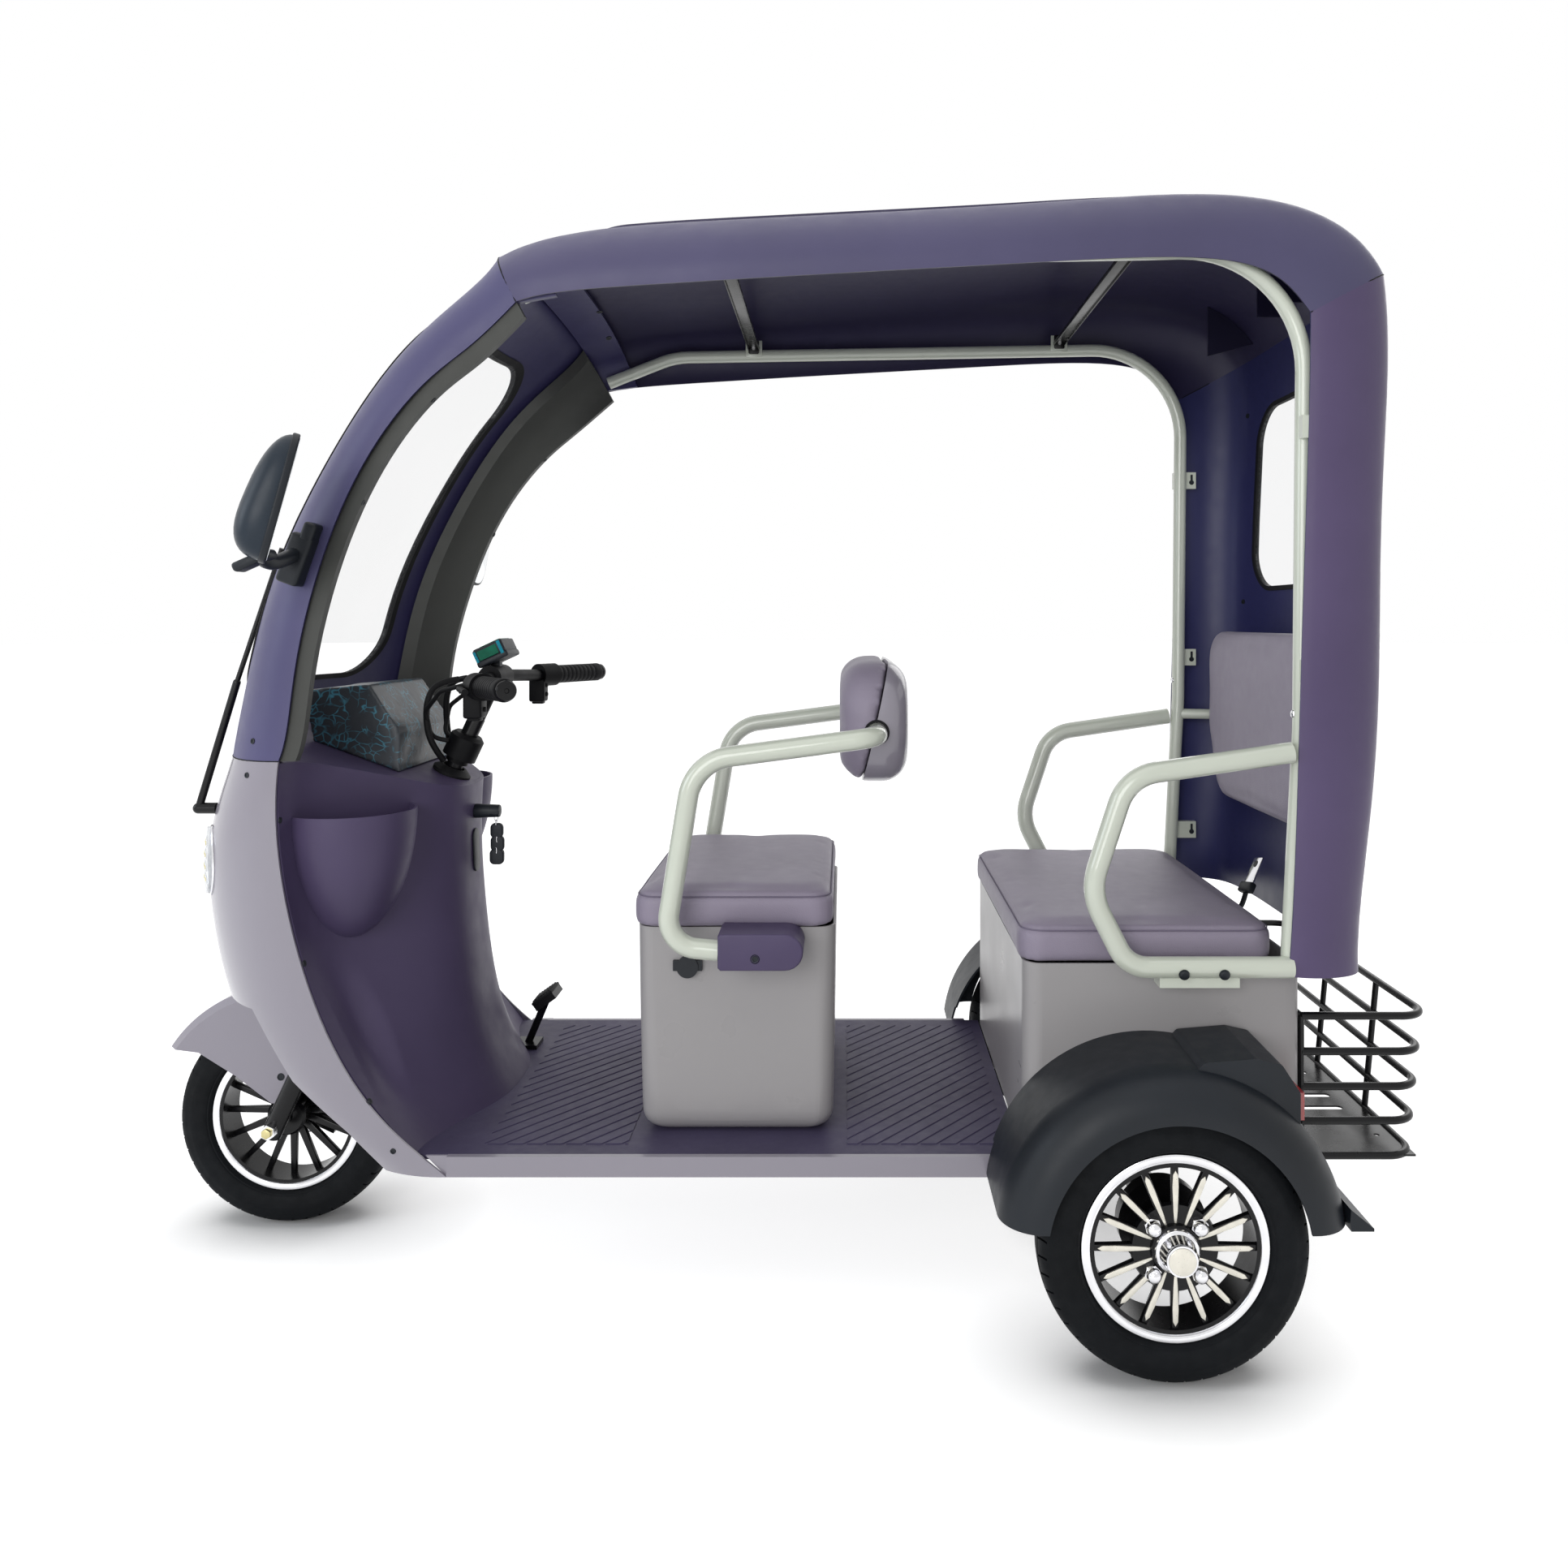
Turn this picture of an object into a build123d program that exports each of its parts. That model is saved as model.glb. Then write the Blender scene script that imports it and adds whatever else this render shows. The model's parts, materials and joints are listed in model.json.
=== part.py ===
from build123d import *
import os
from math import atan2, cos, degrees, hypot, radians, sin

# Electric tricycle with a canopy: one steered front wheel, two rear wheels,
# a rider's seat and a passenger's seat under a moulded roof.
# Millimetres. X forward, Y to the rider's left, Z up, ground at Z = 0.

os.makedirs("parts", exist_ok=True)

# ---- wheels and axles ----
FRONT_AXLE_X = 846.0
REAR_AXLE_X = -595.0
TRACK = 880.0
TYRE_R = 190.0
TYRE_W = 80.0
TREAD_W = 30.0
RIM_SEAT_R = 121.0
RIM_LIP_R = 131.0
RIM_LIP_T = 4.0
RIM_W = 62.0
RIM_WALL = 8.0
SPOKES = 16
SPOKE_T = 9.0
SPOKE_ROOT_W = 13.0
SPOKE_TIP_W = 8.0
HUB_R = 34.0
HUB_W = 70.0
CAP_R = 31.0
CAP_END_R = 19.5
CAP_OUT = 30.0
NUT_R = 12.0
NUT_PCD = 92.0
NUT_OUT = 22.0
DRUM_R = 64.0
DRUM_W = 46.0
DISC_R = 58.0
DISC_T = 4.0
AXLE_R = 8.0
AXLE_FIT = 0.3

# ---- steering ----
RAKE = 25.0
FORK_LEG_Y = 72.0
FORK_LEG_R = 14.0
FORK_SLIDER_R = 17.0
FORK_SLIDER_L = 130.0
CROWN_S = 262.0
CROWN_T = 24.0
STEM_R = 15.0
HEAD_LOW_S = 292.0
HEAD_TOP_S = 420.0
HEAD_WALL = 8.0
HEAD_FIT = 0.5
STEM_TOP_S = 770.0
MUDGUARD_R = 233.0
MUDGUARD_T = 4.0
MUDGUARD_HALF_W = FORK_LEG_Y - FORK_SLIDER_R - 0.2
BAR_R = 11.0
BAR_S = 851.0
BAR_CLAMP_Y = 60.0
BAR_BEND_Y = 200.0
BAR_BEND_X = 458.0
BAR_END_Y = 330.0
BAR_END_X = 376.0
BAR_END_Z = 956.0
BAR_BEND_RADIUS = 60.0
GRIP_R = 18.0
GRIP_L = 118.0
GRIP_END_R = 16.0
GRIP_END_L = 12.0
BAR_X = FRONT_AXLE_X - BAR_S * sin(radians(RAKE))
BAR_Z = TYRE_R + BAR_S * cos(radians(RAKE))


def save(shape, name):
    """Write one node's solids to its own file."""
    export_step(shape, f"parts/{name}.step")


def group(*shapes):
    """Several solids that do not touch, kept in one node."""
    solids = []
    for shape in shapes:
        solids += shape.solids()
    return Compound(children=solids)


def xz_prism(points, y_from, y_to, radius=0.0):
    """A side-view outline (X, Z) carried across from y_from to y_to."""
    if radius:
        wire = FilletPolyline(*points, radius=radius, close=True)
    else:
        wire = Polyline(*points, close=True)
    face = make_face(Plane.XZ * wire)
    block = extrude(face, amount=y_to - y_from, dir=(0, 1, 0))
    return Pos(0, y_from, 0) * block


def yz_prism(points, x_from, x_to, radius=0.0):
    """A front-view outline (Y, Z) carried along from x_from to x_to."""
    if radius:
        wire = FilletPolyline(*points, radius=radius, close=True)
    else:
        wire = Polyline(*points, close=True)
    face = make_face(Plane.YZ * wire)
    return Pos(x_from, 0, 0) * extrude(face, amount=x_to - x_from, dir=(1, 0, 0))


def xy_prism(points, z_from, z_to, radius=0.0):
    """A plan outline (X, Y) carried up from z_from to z_to."""
    if radius:
        wire = FilletPolyline(*points, radius=radius, close=True)
    else:
        wire = Polyline(*points, close=True)
    face = make_face(wire)
    return Pos(0, 0, z_from) * extrude(face, amount=z_to - z_from, dir=(0, 0, 1))


def rect_points(a_from, a_to, b_from, b_to):
    return [(a_from, b_from), (a_to, b_from), (a_to, b_to), (a_from, b_to)]


def rod(start, end, radius):
    """A straight round bar between two points."""
    start = Vector(*start)
    run = Vector(*end) - start
    plane = Plane(origin=start, z_dir=run)
    return extrude(plane * Circle(radius), amount=run.length)


def tube_along(points, radius, bends):
    """A round bar along straight runs joined by tangent arcs."""
    path = FilletPolyline(*points, radius=bends)
    plane = Plane(origin=path @ 0, z_dir=path % 0)
    return sweep(plane * Circle(radius), path=path)


def largest(shape):
    """The main solid of a cut, without the crumbs it leaves."""
    return max(shape.solids(), key=lambda solid: solid.volume)


def mirrored(shape):
    """The same piece on the other side of the centre plane."""
    return mirror(shape, about=Plane.XZ)


def both(shape):
    return group(shape, mirrored(shape))


def y_cylinder(x, y, z, radius, length):
    """A cylinder whose axis runs across the vehicle, centred at the point."""
    return Pos(x, y, z) * Rot(90, 0, 0) * Cylinder(radius, length)


# ---- wheels ----

def ring_about_y(profile):
    """A closed (radius, offset) outline spun about the wheel's own axis."""
    face = make_face(Plane.XY * Polyline(*profile, close=True))
    return revolve(face, Axis.Y, 360)


def tyre():
    half = TYRE_W / 2
    bead = RIM_W / 2 - RIM_LIP_T - 1
    crown = TREAD_W / 2
    side_r = (RIM_LIP_R + TYRE_R) / 2
    right = [
        (RIM_SEAT_R, bead),
        (RIM_LIP_R + 1, bead + 1),
        (RIM_LIP_R + 6, half - 5),
        (side_r, half),
        (TYRE_R - 10, half - 7),
        (TYRE_R, crown),
    ]
    left = [(r, -y) for r, y in reversed(right)]
    return ring_about_y(right + left)


def rim_barrel():
    lip = RIM_W / 2
    seat = lip - RIM_LIP_T - 1
    inner = RIM_SEAT_R - RIM_WALL
    return ring_about_y([
        (inner, -lip), (RIM_LIP_R, -lip), (RIM_LIP_R, -lip + RIM_LIP_T - 1), (RIM_SEAT_R, -seat),
        (RIM_SEAT_R, seat), (RIM_LIP_R, lip - RIM_LIP_T + 1), (RIM_LIP_R, lip), (inner, lip),
    ])


def spoke():
    """One tapered spoke from the hub to the barrel, along +X."""
    tip = RIM_SEAT_R - RIM_WALL / 2
    outline = [
        (HUB_R - 4, -SPOKE_ROOT_W / 2), (tip, -SPOKE_TIP_W / 2),
        (tip, SPOKE_TIP_W / 2), (HUB_R - 4, SPOKE_ROOT_W / 2),
    ]
    return xz_prism(outline, -SPOKE_T / 2, SPOKE_T / 2)


def rim(dish):
    """Barrel, hub and spokes, with the spokes dished outwards by `dish`."""
    body = rim_barrel()
    body += Rot(90, 0, 0) * Cylinder(HUB_R, HUB_W)
    for number in range(SPOKES):
        body += Pos(0, dish, 0) * Rot(0, number * 360 / SPOKES, 0) * spoke()
    return body


def front_wheel():
    x = FRONT_AXLE_X
    spin = Pos(x, 0, TYRE_R)
    save(spin * tyre(), "tyre_front")
    disc = Pos(0, -HUB_W / 2 - DISC_T / 2, 0) * Rot(90, 0, 0) * Cylinder(DISC_R, DISC_T)
    bore = Rot(90, 0, 0) * Cylinder(AXLE_R + AXLE_FIT, 2 * HUB_W)
    save(spin * (rim(0) + disc - bore), "rim_front")


def hub_cap(outward):
    """Chrome cap on the hub with four domed wheel nuts round it."""
    start = HUB_W / 2
    cap = Cone(CAP_R, CAP_END_R, CAP_OUT, align=(Align.CENTER, Align.CENTER, Align.MIN))
    cap = Rot(-90, 0, 0) * cap
    pieces = Pos(0, start, 0) * cap
    return pieces if outward > 0 else mirrored(pieces)


def rear_wheel(side, name):
    y = side * TRACK / 2
    spin = Pos(REAR_AXLE_X, y, TYRE_R)
    dish = side * (RIM_W / 2 - SPOKE_T)
    flange = Rot(90, 0, 0) * Cylinder(NUT_PCD / 2 + NUT_R, SPOKE_T)
    wheel = rim(dish) + Pos(0, dish, 0) * flange
    for number in range(4):
        turn = Rot(0, 45 + 90 * number, 0)
        nut_y = dish + side * (SPOKE_T / 2 + NUT_OUT / 2)
        wheel += turn * Pos(NUT_PCD / 2, nut_y, 0) * Rot(90, 0, 0) * Cylinder(NUT_R, NUT_OUT)
    save(spin * tyre(), f"tyre_rear_{name}")
    bore = Rot(90, 0, 0) * Cylinder(AXLE_R + AXLE_FIT, HUB_W + 2)
    save(spin * (wheel + hub_cap(side) - bore), f"rim_rear_{name}")


def wheels():
    front_wheel()
    rear_wheel(1, "left")
    rear_wheel(-1, "right")


# ---- steering: everything in the tilted frame of the stem ----
STEER = Pos(FRONT_AXLE_X, 0, TYRE_R) * Rot(0, -RAKE, 0)


def on_stem(s):
    """World point at distance s up the steering axis from the front axle."""
    return Vector(FRONT_AXLE_X - s * sin(radians(RAKE)), 0, TYRE_R + s * cos(radians(RAKE)))


def column(radius, low, high):
    """A cylinder round the steering axis, in the tilted frame."""
    base = (Align.CENTER, Align.CENTER, Align.MIN)
    return Pos(0, 0, low) * Cylinder(radius, high - low, align=base)


def fork():
    leg = Pos(0, FORK_LEG_Y, 0) * column(FORK_LEG_R, 0, CROWN_S)
    slider = Pos(0, FORK_LEG_Y, 0) * column(FORK_SLIDER_R, -FORK_SLIDER_R, FORK_SLIDER_L)
    side = leg + slider
    crown_w = 2 * (FORK_LEG_Y + FORK_LEG_R)
    crown = Pos(0, 0, CROWN_S) * Box(2 * FORK_LEG_R + 10, crown_w, CROWN_T)
    body = side + mirrored(side) + crown
    body += column(STEM_R, CROWN_S, STEM_TOP_S)
    body -= Rot(90, 0, 0) * Cylinder(AXLE_R, 2 * FORK_LEG_Y + 60)
    save(STEER * body, "fork")


def front_axle():
    half = FORK_LEG_Y + FORK_SLIDER_R
    axle = Rot(90, 0, 0) * Cylinder(AXLE_R, 2 * half)
    for side in (1, -1):
        nut = Rot(90, 0, 0) * extrude(RegularPolygon(AXLE_R + 5, 6), amount=6, both=True)
        axle += Pos(0, side * (half + 6), 0) * nut
        spacer_w = FORK_LEG_Y - FORK_SLIDER_R - HUB_W / 2 - DISC_T
        spacer = Rot(90, 0, 0) * Cylinder(AXLE_R + 3, spacer_w - 1)
        axle += Pos(0, side * (FORK_LEG_Y - FORK_SLIDER_R - spacer_w / 2), 0) * spacer
    save(STEER * axle, "front_axle")


CALIPER_IN_R = 40.0
CALIPER_OUT_R = 78.0
CALIPER_L = 40.0
CALIPER_GAP = 5.5


def brake_caliper():
    """Caliper straddling the disc, on a bracket from the right slider."""
    disc_in = -HUB_W / 2
    disc_out = disc_in - DISC_T
    outer = -(FORK_LEG_Y - 8)
    inner = disc_in + CALIPER_GAP + 14
    span = CALIPER_OUT_R - CALIPER_IN_R
    body = Pos(-(CALIPER_IN_R + span / 2), (outer + inner) / 2, 0) * Box(span, inner - outer, CALIPER_L)
    slot_w = DISC_T + 2 * CALIPER_GAP
    slot_span = DISC_R + CALIPER_GAP - CALIPER_IN_R
    slot = Box(slot_span, slot_w, CALIPER_L)
    body -= Pos(-(CALIPER_IN_R + slot_span / 2), (disc_in + disc_out) / 2, 0) * slot
    bracket = Pos(-CALIPER_IN_R / 2 - 12, outer - 4, 0) * Box(CALIPER_IN_R + 24, 8, CALIPER_L - 8)
    bracket -= Pos(0, -FORK_LEG_Y, 0) * column(FORK_SLIDER_R, -FORK_SLIDER_R, FORK_SLIDER_L)
    save(STEER * (body + bracket), "brake_caliper")


MUDGUARD_ROUND = 12.0
MUDGUARD_TIP = (FRONT_AXLE_X + 192, 319.0)
MUDGUARD_TONGUE = (FRONT_AXLE_X, 222.0)
MUDGUARD_REAR = (FRONT_AXLE_X - 150, 366.0)


def mudguard_profile(radius, half_w):
    corner = MUDGUARD_ROUND
    return ring_about_y([
        (20, -half_w), (radius - corner, -half_w), (radius, -half_w + corner),
        (radius, half_w - corner), (radius - corner, half_w), (20, half_w),
    ])


def front_mudguard():
    """A beaked guard over the tyre, its side skirts reaching down to the fork."""
    outer = mudguard_profile(MUDGUARD_R, MUDGUARD_HALF_W)
    inner = mudguard_profile(MUDGUARD_R - MUDGUARD_T, MUDGUARD_HALF_W - MUDGUARD_T)
    spin = Pos(FRONT_AXLE_X, 0, TYRE_R)
    shell = spin * (outer - inner)
    tip_x, tip_z = MUDGUARD_TIP
    tongue_x, tongue_z = MUDGUARD_TONGUE
    rear_x, rear_z = MUDGUARD_REAR
    keep = xz_prism([
        (tip_x + 20, tip_z), (tip_x - 50, tip_z - 9), (tongue_x + 78, tongue_z + 48),
        (tongue_x + 15, tongue_z), (tongue_x - 9, tongue_z), (tongue_x - 38, tongue_z + 34),
        (rear_x, rear_z), (rear_x - 20, rear_z + 120), (tip_x + 20, tip_z + 120),
    ], -MUDGUARD_HALF_W - 1, MUDGUARD_HALF_W + 1)
    guard = shell & keep
    save(guard, "mudguard_front")


def bar_path():
    half = [
        (BAR_X, BAR_CLAMP_Y, BAR_Z), (BAR_BEND_X, BAR_BEND_Y, BAR_Z - 6),
        (BAR_END_X, BAR_END_Y, BAR_END_Z),
    ]
    other = [(x, -y, z) for x, y, z in reversed(half)]
    return other + half


def bent_bar():
    return tube_along(bar_path(), BAR_R, BAR_BEND_RADIUS)


def handlebar():
    bar = bent_bar()
    stem_top = on_stem(STEM_TOP_S)
    riser = rod(stem_top, (BAR_X, 0, BAR_Z), BAR_R + 3)
    clamp = Pos(BAR_X, 0, BAR_Z) * Rot(90, 0, 0) * Cylinder(BAR_R + 10, 2 * BAR_CLAMP_Y - 40)
    save(group(bar + riser + clamp, stem_clamp()), "handlebar")


CLAMP_HEAD_S = 716.0
CLAMP_HEAD_R = 30.0
CLAMP_HEAD_L = 44.0
CLAMP_COLLAR_L = 10.0


def stem_clamp():
    """The round folding clamp on the stem below the bar."""
    head = column(CLAMP_HEAD_R, CLAMP_HEAD_S - CLAMP_HEAD_L / 2, CLAMP_HEAD_S + CLAMP_HEAD_L / 2)
    head += column(CLAMP_HEAD_R - 10, CLAMP_HEAD_S - CLAMP_HEAD_L / 2 - CLAMP_COLLAR_L, CLAMP_HEAD_S)
    head = chamfer(head.edges().filter_by(GeomType.CIRCLE).group_by(Axis.Z)[-1], 6)
    head -= column(STEM_R, CLAMP_HEAD_S - CLAMP_HEAD_L - 1, CLAMP_HEAD_S + CLAMP_HEAD_L)
    return STEER * head


def grip(side):
    """A ribbed rubber grip with an end weight, on the last run of the bar."""
    bend = Vector(BAR_BEND_X, side * BAR_BEND_Y, BAR_Z - 6)
    end = Vector(BAR_END_X, side * BAR_END_Y, BAR_END_Z)
    run = (end - bend).normalized()
    start = end - run * GRIP_L
    body = rod(start, end + run * 0.5, GRIP_R) - rod(start - run * 5, end, BAR_R)
    body += rod(end + run * 0.5, end + run * GRIP_END_L, GRIP_END_R)
    return body


POD_L = 42.0
POD_R = 22.0


def bar_controls():
    """Switch pods, brake levers and the meter, clamped on the handlebar."""
    pieces = []
    for side in (1, -1):
        bend = Vector(BAR_BEND_X, side * BAR_BEND_Y, BAR_Z - 6)
        end = Vector(BAR_END_X, side * BAR_END_Y, BAR_END_Z)
        run = (end - bend).normalized()
        grip_start = end - run * (GRIP_L + 1)
        pod_start = grip_start - run * POD_L
        pod = rod(pod_start, grip_start, POD_R) - rod(pod_start - run, grip_start + run, BAR_R)
        pivot = pod_start + run * 12 + Vector(30, 0, -4)
        arm = rod(pod_start + run * 12 + Vector(POD_R - 6, 0, -2), pivot, 8)
        lever = rod(pivot, pivot + run * 120 + Vector(22, 0, 0), 5)
        pieces.append(largest(pod + arm + lever - bent_bar()))
    save(group(*pieces), "bar_controls")


METER_SIZE = (58.0, 82.0, 34.0)
METER_Z = 1004.0
METER_TILT = 25.0


def meter():
    long, wide, high = METER_SIZE
    case = Box(long, wide, high)
    case = fillet(case.edges().filter_by(Axis.Z), 8)
    case = Pos(BAR_X, 0, METER_Z) * Rot(0, METER_TILT, 0) * case
    foot = rod((BAR_X, 0, BAR_Z + BAR_R + 10), (BAR_X, 0, METER_Z), 9)
    foot -= Pos(BAR_X, 0, BAR_Z) * Rot(90, 0, 0) * Cylinder(BAR_R + 10, 60)
    save(case + foot, "meter")


CABLE_R = 4.0
CABLE_BEND = 26.0
CABLE_AT_CLAMP = (24.3, 19.2)


def control_cables():
    """Brake and throttle cables looping in front of the bar and down to the stem."""
    cables = []
    ahead_of_stem = Vector(cos(radians(RAKE)), 0, sin(radians(RAKE)))
    foot = on_stem(CLAMP_HEAD_S) + ahead_of_stem * CABLE_AT_CLAMP[0]
    for side in (1, -1):
        points = [
            (BAR_X - 2, side * 128, BAR_Z - 3), (BAR_X + 66, side * 96, BAR_Z - 20),
            (BAR_X + 104, side * 62, BAR_Z - 56), (BAR_X + 104, side * 34, BAR_Z - 104),
            (foot.X, side * CABLE_AT_CLAMP[1], foot.Z),
        ]
        cables.append(largest(tube_along(points, CABLE_R, CABLE_BEND) - bent_bar()))
    save(group(*cables), "control_cables")


def steering():
    fork()
    front_axle()
    brake_caliper()
    front_mudguard()
    handlebar()
    save(group(grip(1), grip(-1)), "grips")
    bar_controls()
    meter()
    control_cables()


# ---- bowed shells: nose, windshield surround, roof and rear panel ----
SHELL_T = 4.0
BASE_CUT = 3.0
ARC_POINTS = 11


class Station:
    """One bowed cross-section of the body, standing on a point of the edge line.

    The section lies in the plane of Y and the outward direction `lean`
    (degrees up from forward). It is a rounded arch of half-width `half` and
    height `rise`, squarer as `power` grows.
    """

    def __init__(self, x, z, lean, half, rise, power):
        self.x = x
        self.z = z
        self.lean = radians(lean)
        self.half = half
        self.rise = rise
        self.power = power

    def point(self, y, out):
        return Vector(self.x + out * cos(self.lean), y, self.z + out * sin(self.lean))

    def arch(self, grow, start):
        """Points of the arch, grown by `grow`, from `start` outwards."""
        half = self.half + grow
        rise = self.rise + grow - start
        points = []
        for number in range(ARC_POINTS):
            angle = radians(180 * number / (ARC_POINTS - 1))
            share = abs(cos(angle)) ** (2 / self.power)
            side = half * share * (1 if angle < radians(90) else -1)
            out = start + rise * abs(sin(angle)) ** (2 / self.power)
            points.append(self.point(side, out))
        return points

    def filled(self, grow=0.0, start=0.0):
        """The whole section under the arch."""
        points = self.arch(grow, start)
        curve = Spline(*points)
        chord = Line(points[-1], points[0])
        return make_face(Wire([curve.edge(), chord.edge()]))


def bowed_solid(stations, grow=0.0, start=0.0):
    """The filled body through a list of stations."""
    return loft([station.filled(grow, start) for station in stations])


def bowed_shell(stations, grow=0.0, thick=SHELL_T, start=0.0):
    """A wall of even thickness under the same arches."""
    return bowed_solid(stations, grow, start) - bowed_solid(stations, grow - thick, start - BASE_CUT)


FLOOR_TOP = 246.0
SILL_LOW = 215.0
BODY_HALF = 312.0
WAIST_Z = 849.0
WAIST_X = 717.0
PILLAR_HALF = 330.0
ROOF_HALF = 360.0
REAR_HALF = 350.0
NOSE_RISE = 212.0
WAIST_RISE = 156.0
ROOF_FRONT_X = 354.0
ROOF_FRONT_Z = 1537.0
ROOF_EDGE_Z = 1557.0
ROOF_REAR_Z = 1600.0
ROOF_REAR_X = -600.0
ROOF_RISE = 140.0
ROOF_FRONT_RISE = 134.0
REAR_X = -820.0
REAR_FOOT_X = -799.0
REAR_FOOT_Z = 530.0
REAR_RISE = 150.0

COWL = [
    Station(470, SILL_LOW, 0, BODY_HALF, NOSE_RISE + 24, 2.2),
    Station(544, 277, 0, BODY_HALF, NOSE_RISE + 26, 2.2),
    Station(606, 351, 0, BODY_HALF + 2, NOSE_RISE + 28, 2.2),
    Station(662, 462, 0, BODY_HALF + 5, NOSE_RISE + 26, 2.2),
    Station(693, 561, 0, BODY_HALF + 9, NOSE_RISE + 16, 2.2),
    Station(715, 672, 0, BODY_HALF + 13, NOSE_RISE, 2.2),
    Station(722, 758, 0, PILLAR_HALF - 2, NOSE_RISE - 24, 2.2),
    Station(WAIST_X, WAIST_Z, 0, PILLAR_HALF, WAIST_RISE, 2.2),
]
ROOF_JOINT = Station(ROOF_FRONT_X, ROOF_FRONT_Z, 62, PILLAR_HALF + 18, ROOF_FRONT_RISE, 2.6)
SURROUND = [
    Station(WAIST_X, WAIST_Z, 0, PILLAR_HALF, WAIST_RISE, 2.2),
    Station(698, 945, 6, PILLAR_HALF, WAIST_RISE - 1, 2.2),
    Station(679, 1052, 12, PILLAR_HALF + 2, WAIST_RISE - 11, 2.2),
    Station(654, 1139, 18, PILLAR_HALF + 5, WAIST_RISE - 20, 2.2),
    Station(621, 1226, 25, PILLAR_HALF + 7, WAIST_RISE - 32, 2.2),
    Station(563, 1332, 33, PILLAR_HALF + 10, WAIST_RISE - 37, 2.2),
    Station(510, 1399, 43, PILLAR_HALF + 12, WAIST_RISE - 34, 2.3),
    ROOF_JOINT,
]
REAR_JOINT = Station(REAR_X - 9, 1520, 152, REAR_HALF + 2, REAR_RISE + 13, 5.5)
ROOF = [
    ROOF_JOINT,
    Station(189, ROOF_EDGE_Z, 86, ROOF_HALF, ROOF_RISE + 2, 3),
    Station(-5, ROOF_EDGE_Z + 12, 88, ROOF_HALF, ROOF_RISE + 2, 3),
    Station(-200, ROOF_EDGE_Z + 23, 90, ROOF_HALF, ROOF_RISE + 1, 3),
    Station(-400, ROOF_REAR_Z - 9, 91, ROOF_HALF, ROOF_RISE, 3.1),
    Station(ROOF_REAR_X, ROOF_REAR_Z, 92, ROOF_HALF, ROOF_RISE - 1, 3.5),
    Station(REAR_X + 72, ROOF_REAR_Z - 14, 114, REAR_HALF + 7, ROOF_RISE + 7, 4.4),
    REAR_JOINT,
]
REAR = [
    REAR_JOINT,
    Station(REAR_X - 9, 1440, 171, REAR_HALF + 1, REAR_RISE + 4, 5.5),
    Station(REAR_X - 7, 1340, 178, REAR_HALF, REAR_RISE, 5.5),
    Station(REAR_X, 1100, 180, REAR_HALF - 2, REAR_RISE, 5.5),
    Station(REAR_X + 8, 800, 181, REAR_HALF - 4, REAR_RISE - 3, 5.5),
    Station(REAR_FOOT_X, REAR_FOOT_Z, 181, REAR_HALF - 5, REAR_RISE - 13, 5.5),
]

NOSE_LOW_Z = 464.0
ARCH_EDGE = [(557, 200), (625, 277), (715, 351), (779, 462)]


def front_cowl():
    """White nose: a bowed shell, open under the nose for the turning wheel."""
    shell = bowed_shell(COWL)
    arch = ARCH_EDGE + [(1100, NOSE_LOW_Z), (1100, 150), (557, 150)]
    shell -= xz_prism(arch, -400, 400)
    return shell


WINDSHIELD_HALF = 262.0
WINDSHIELD_LOW = 952.0
WINDSHIELD_TOP = 1560.0
WINDSHIELD_ROUND = 95.0
GASKET_W = 9.0
GASKET_PROUD = 2.5
GLASS_T = 3.0
REAR_WINDOW_HALF = 270.0
REAR_WINDOW_LOW = 1120.0
REAR_WINDOW_TOP = 1490.0
REAR_WINDOW_ROUND = 80.0


def window_cut(half, low, top, corner, x_from, x_to, inset=0.0):
    """A rounded window outline carried along the vehicle."""
    points = rect_points(-half + inset, half - inset, low + inset, top - inset)
    return yz_prism(points, x_from, x_to, corner - inset)


def glazed(stations, opening, clear):
    """A shell with its window cut, the window's gasket and its pane."""
    shell = bowed_shell(stations) - opening
    seal = bowed_shell(stations, GASKET_PROUD, SHELL_T + 2 * GASKET_PROUD) & (opening - clear)
    pane = bowed_shell(stations, -(SHELL_T - GLASS_T) / 2, GLASS_T) & clear
    return shell, seal, pane


def windshield():
    span = (WINDSHIELD_HALF, WINDSHIELD_LOW, WINDSHIELD_TOP, WINDSHIELD_ROUND, 430, 1100)
    opening = window_cut(*span)
    clear = window_cut(*span, inset=GASKET_W)
    return glazed(SURROUND, opening, clear)


def rear_panel():
    span = (REAR_WINDOW_HALF, REAR_WINDOW_LOW, REAR_WINDOW_TOP, REAR_WINDOW_ROUND, -1100, -900)
    opening = window_cut(*span)
    clear = window_cut(*span, inset=GASKET_W)
    return glazed(REAR, opening, clear)


TRIM_T = 15.0
TRIM_BACK = 24.0
TRIM_FROM_Y = 284.0
SKIN_GAP = 0.3


def pillar_trim():
    """Grey liners inside the windshield pillars, one each side."""
    grow = -SHELL_T - SKIN_GAP
    outer = bowed_solid(SURROUND, grow, -TRIM_BACK)
    inner = bowed_solid(SURROUND, grow - TRIM_T, -TRIM_BACK - 10)
    liner = outer - inner - bowed_shell(SURROUND, 40, SHELL_T + 40 + SKIN_GAP)
    left = liner & (Pos(500, TRIM_FROM_Y + 100, 1200) * Box(1000, 200, 1200))
    return both(largest(left))


PANEL_RISE = 12.0
PANEL_HALF = 205.0
PANEL_FRONT_X = 270.0
PANEL_REAR_X = -800.0


def roof_panel():
    """The raised dark panel along the middle of the roof."""
    plan = xy_prism(rect_points(PANEL_REAR_X, PANEL_FRONT_X, -PANEL_HALF, PANEL_HALF), 1660, 1900, 60)
    return (bowed_solid(ROOF, PANEL_RISE) & plan) - bowed_solid(ROOF)


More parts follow.
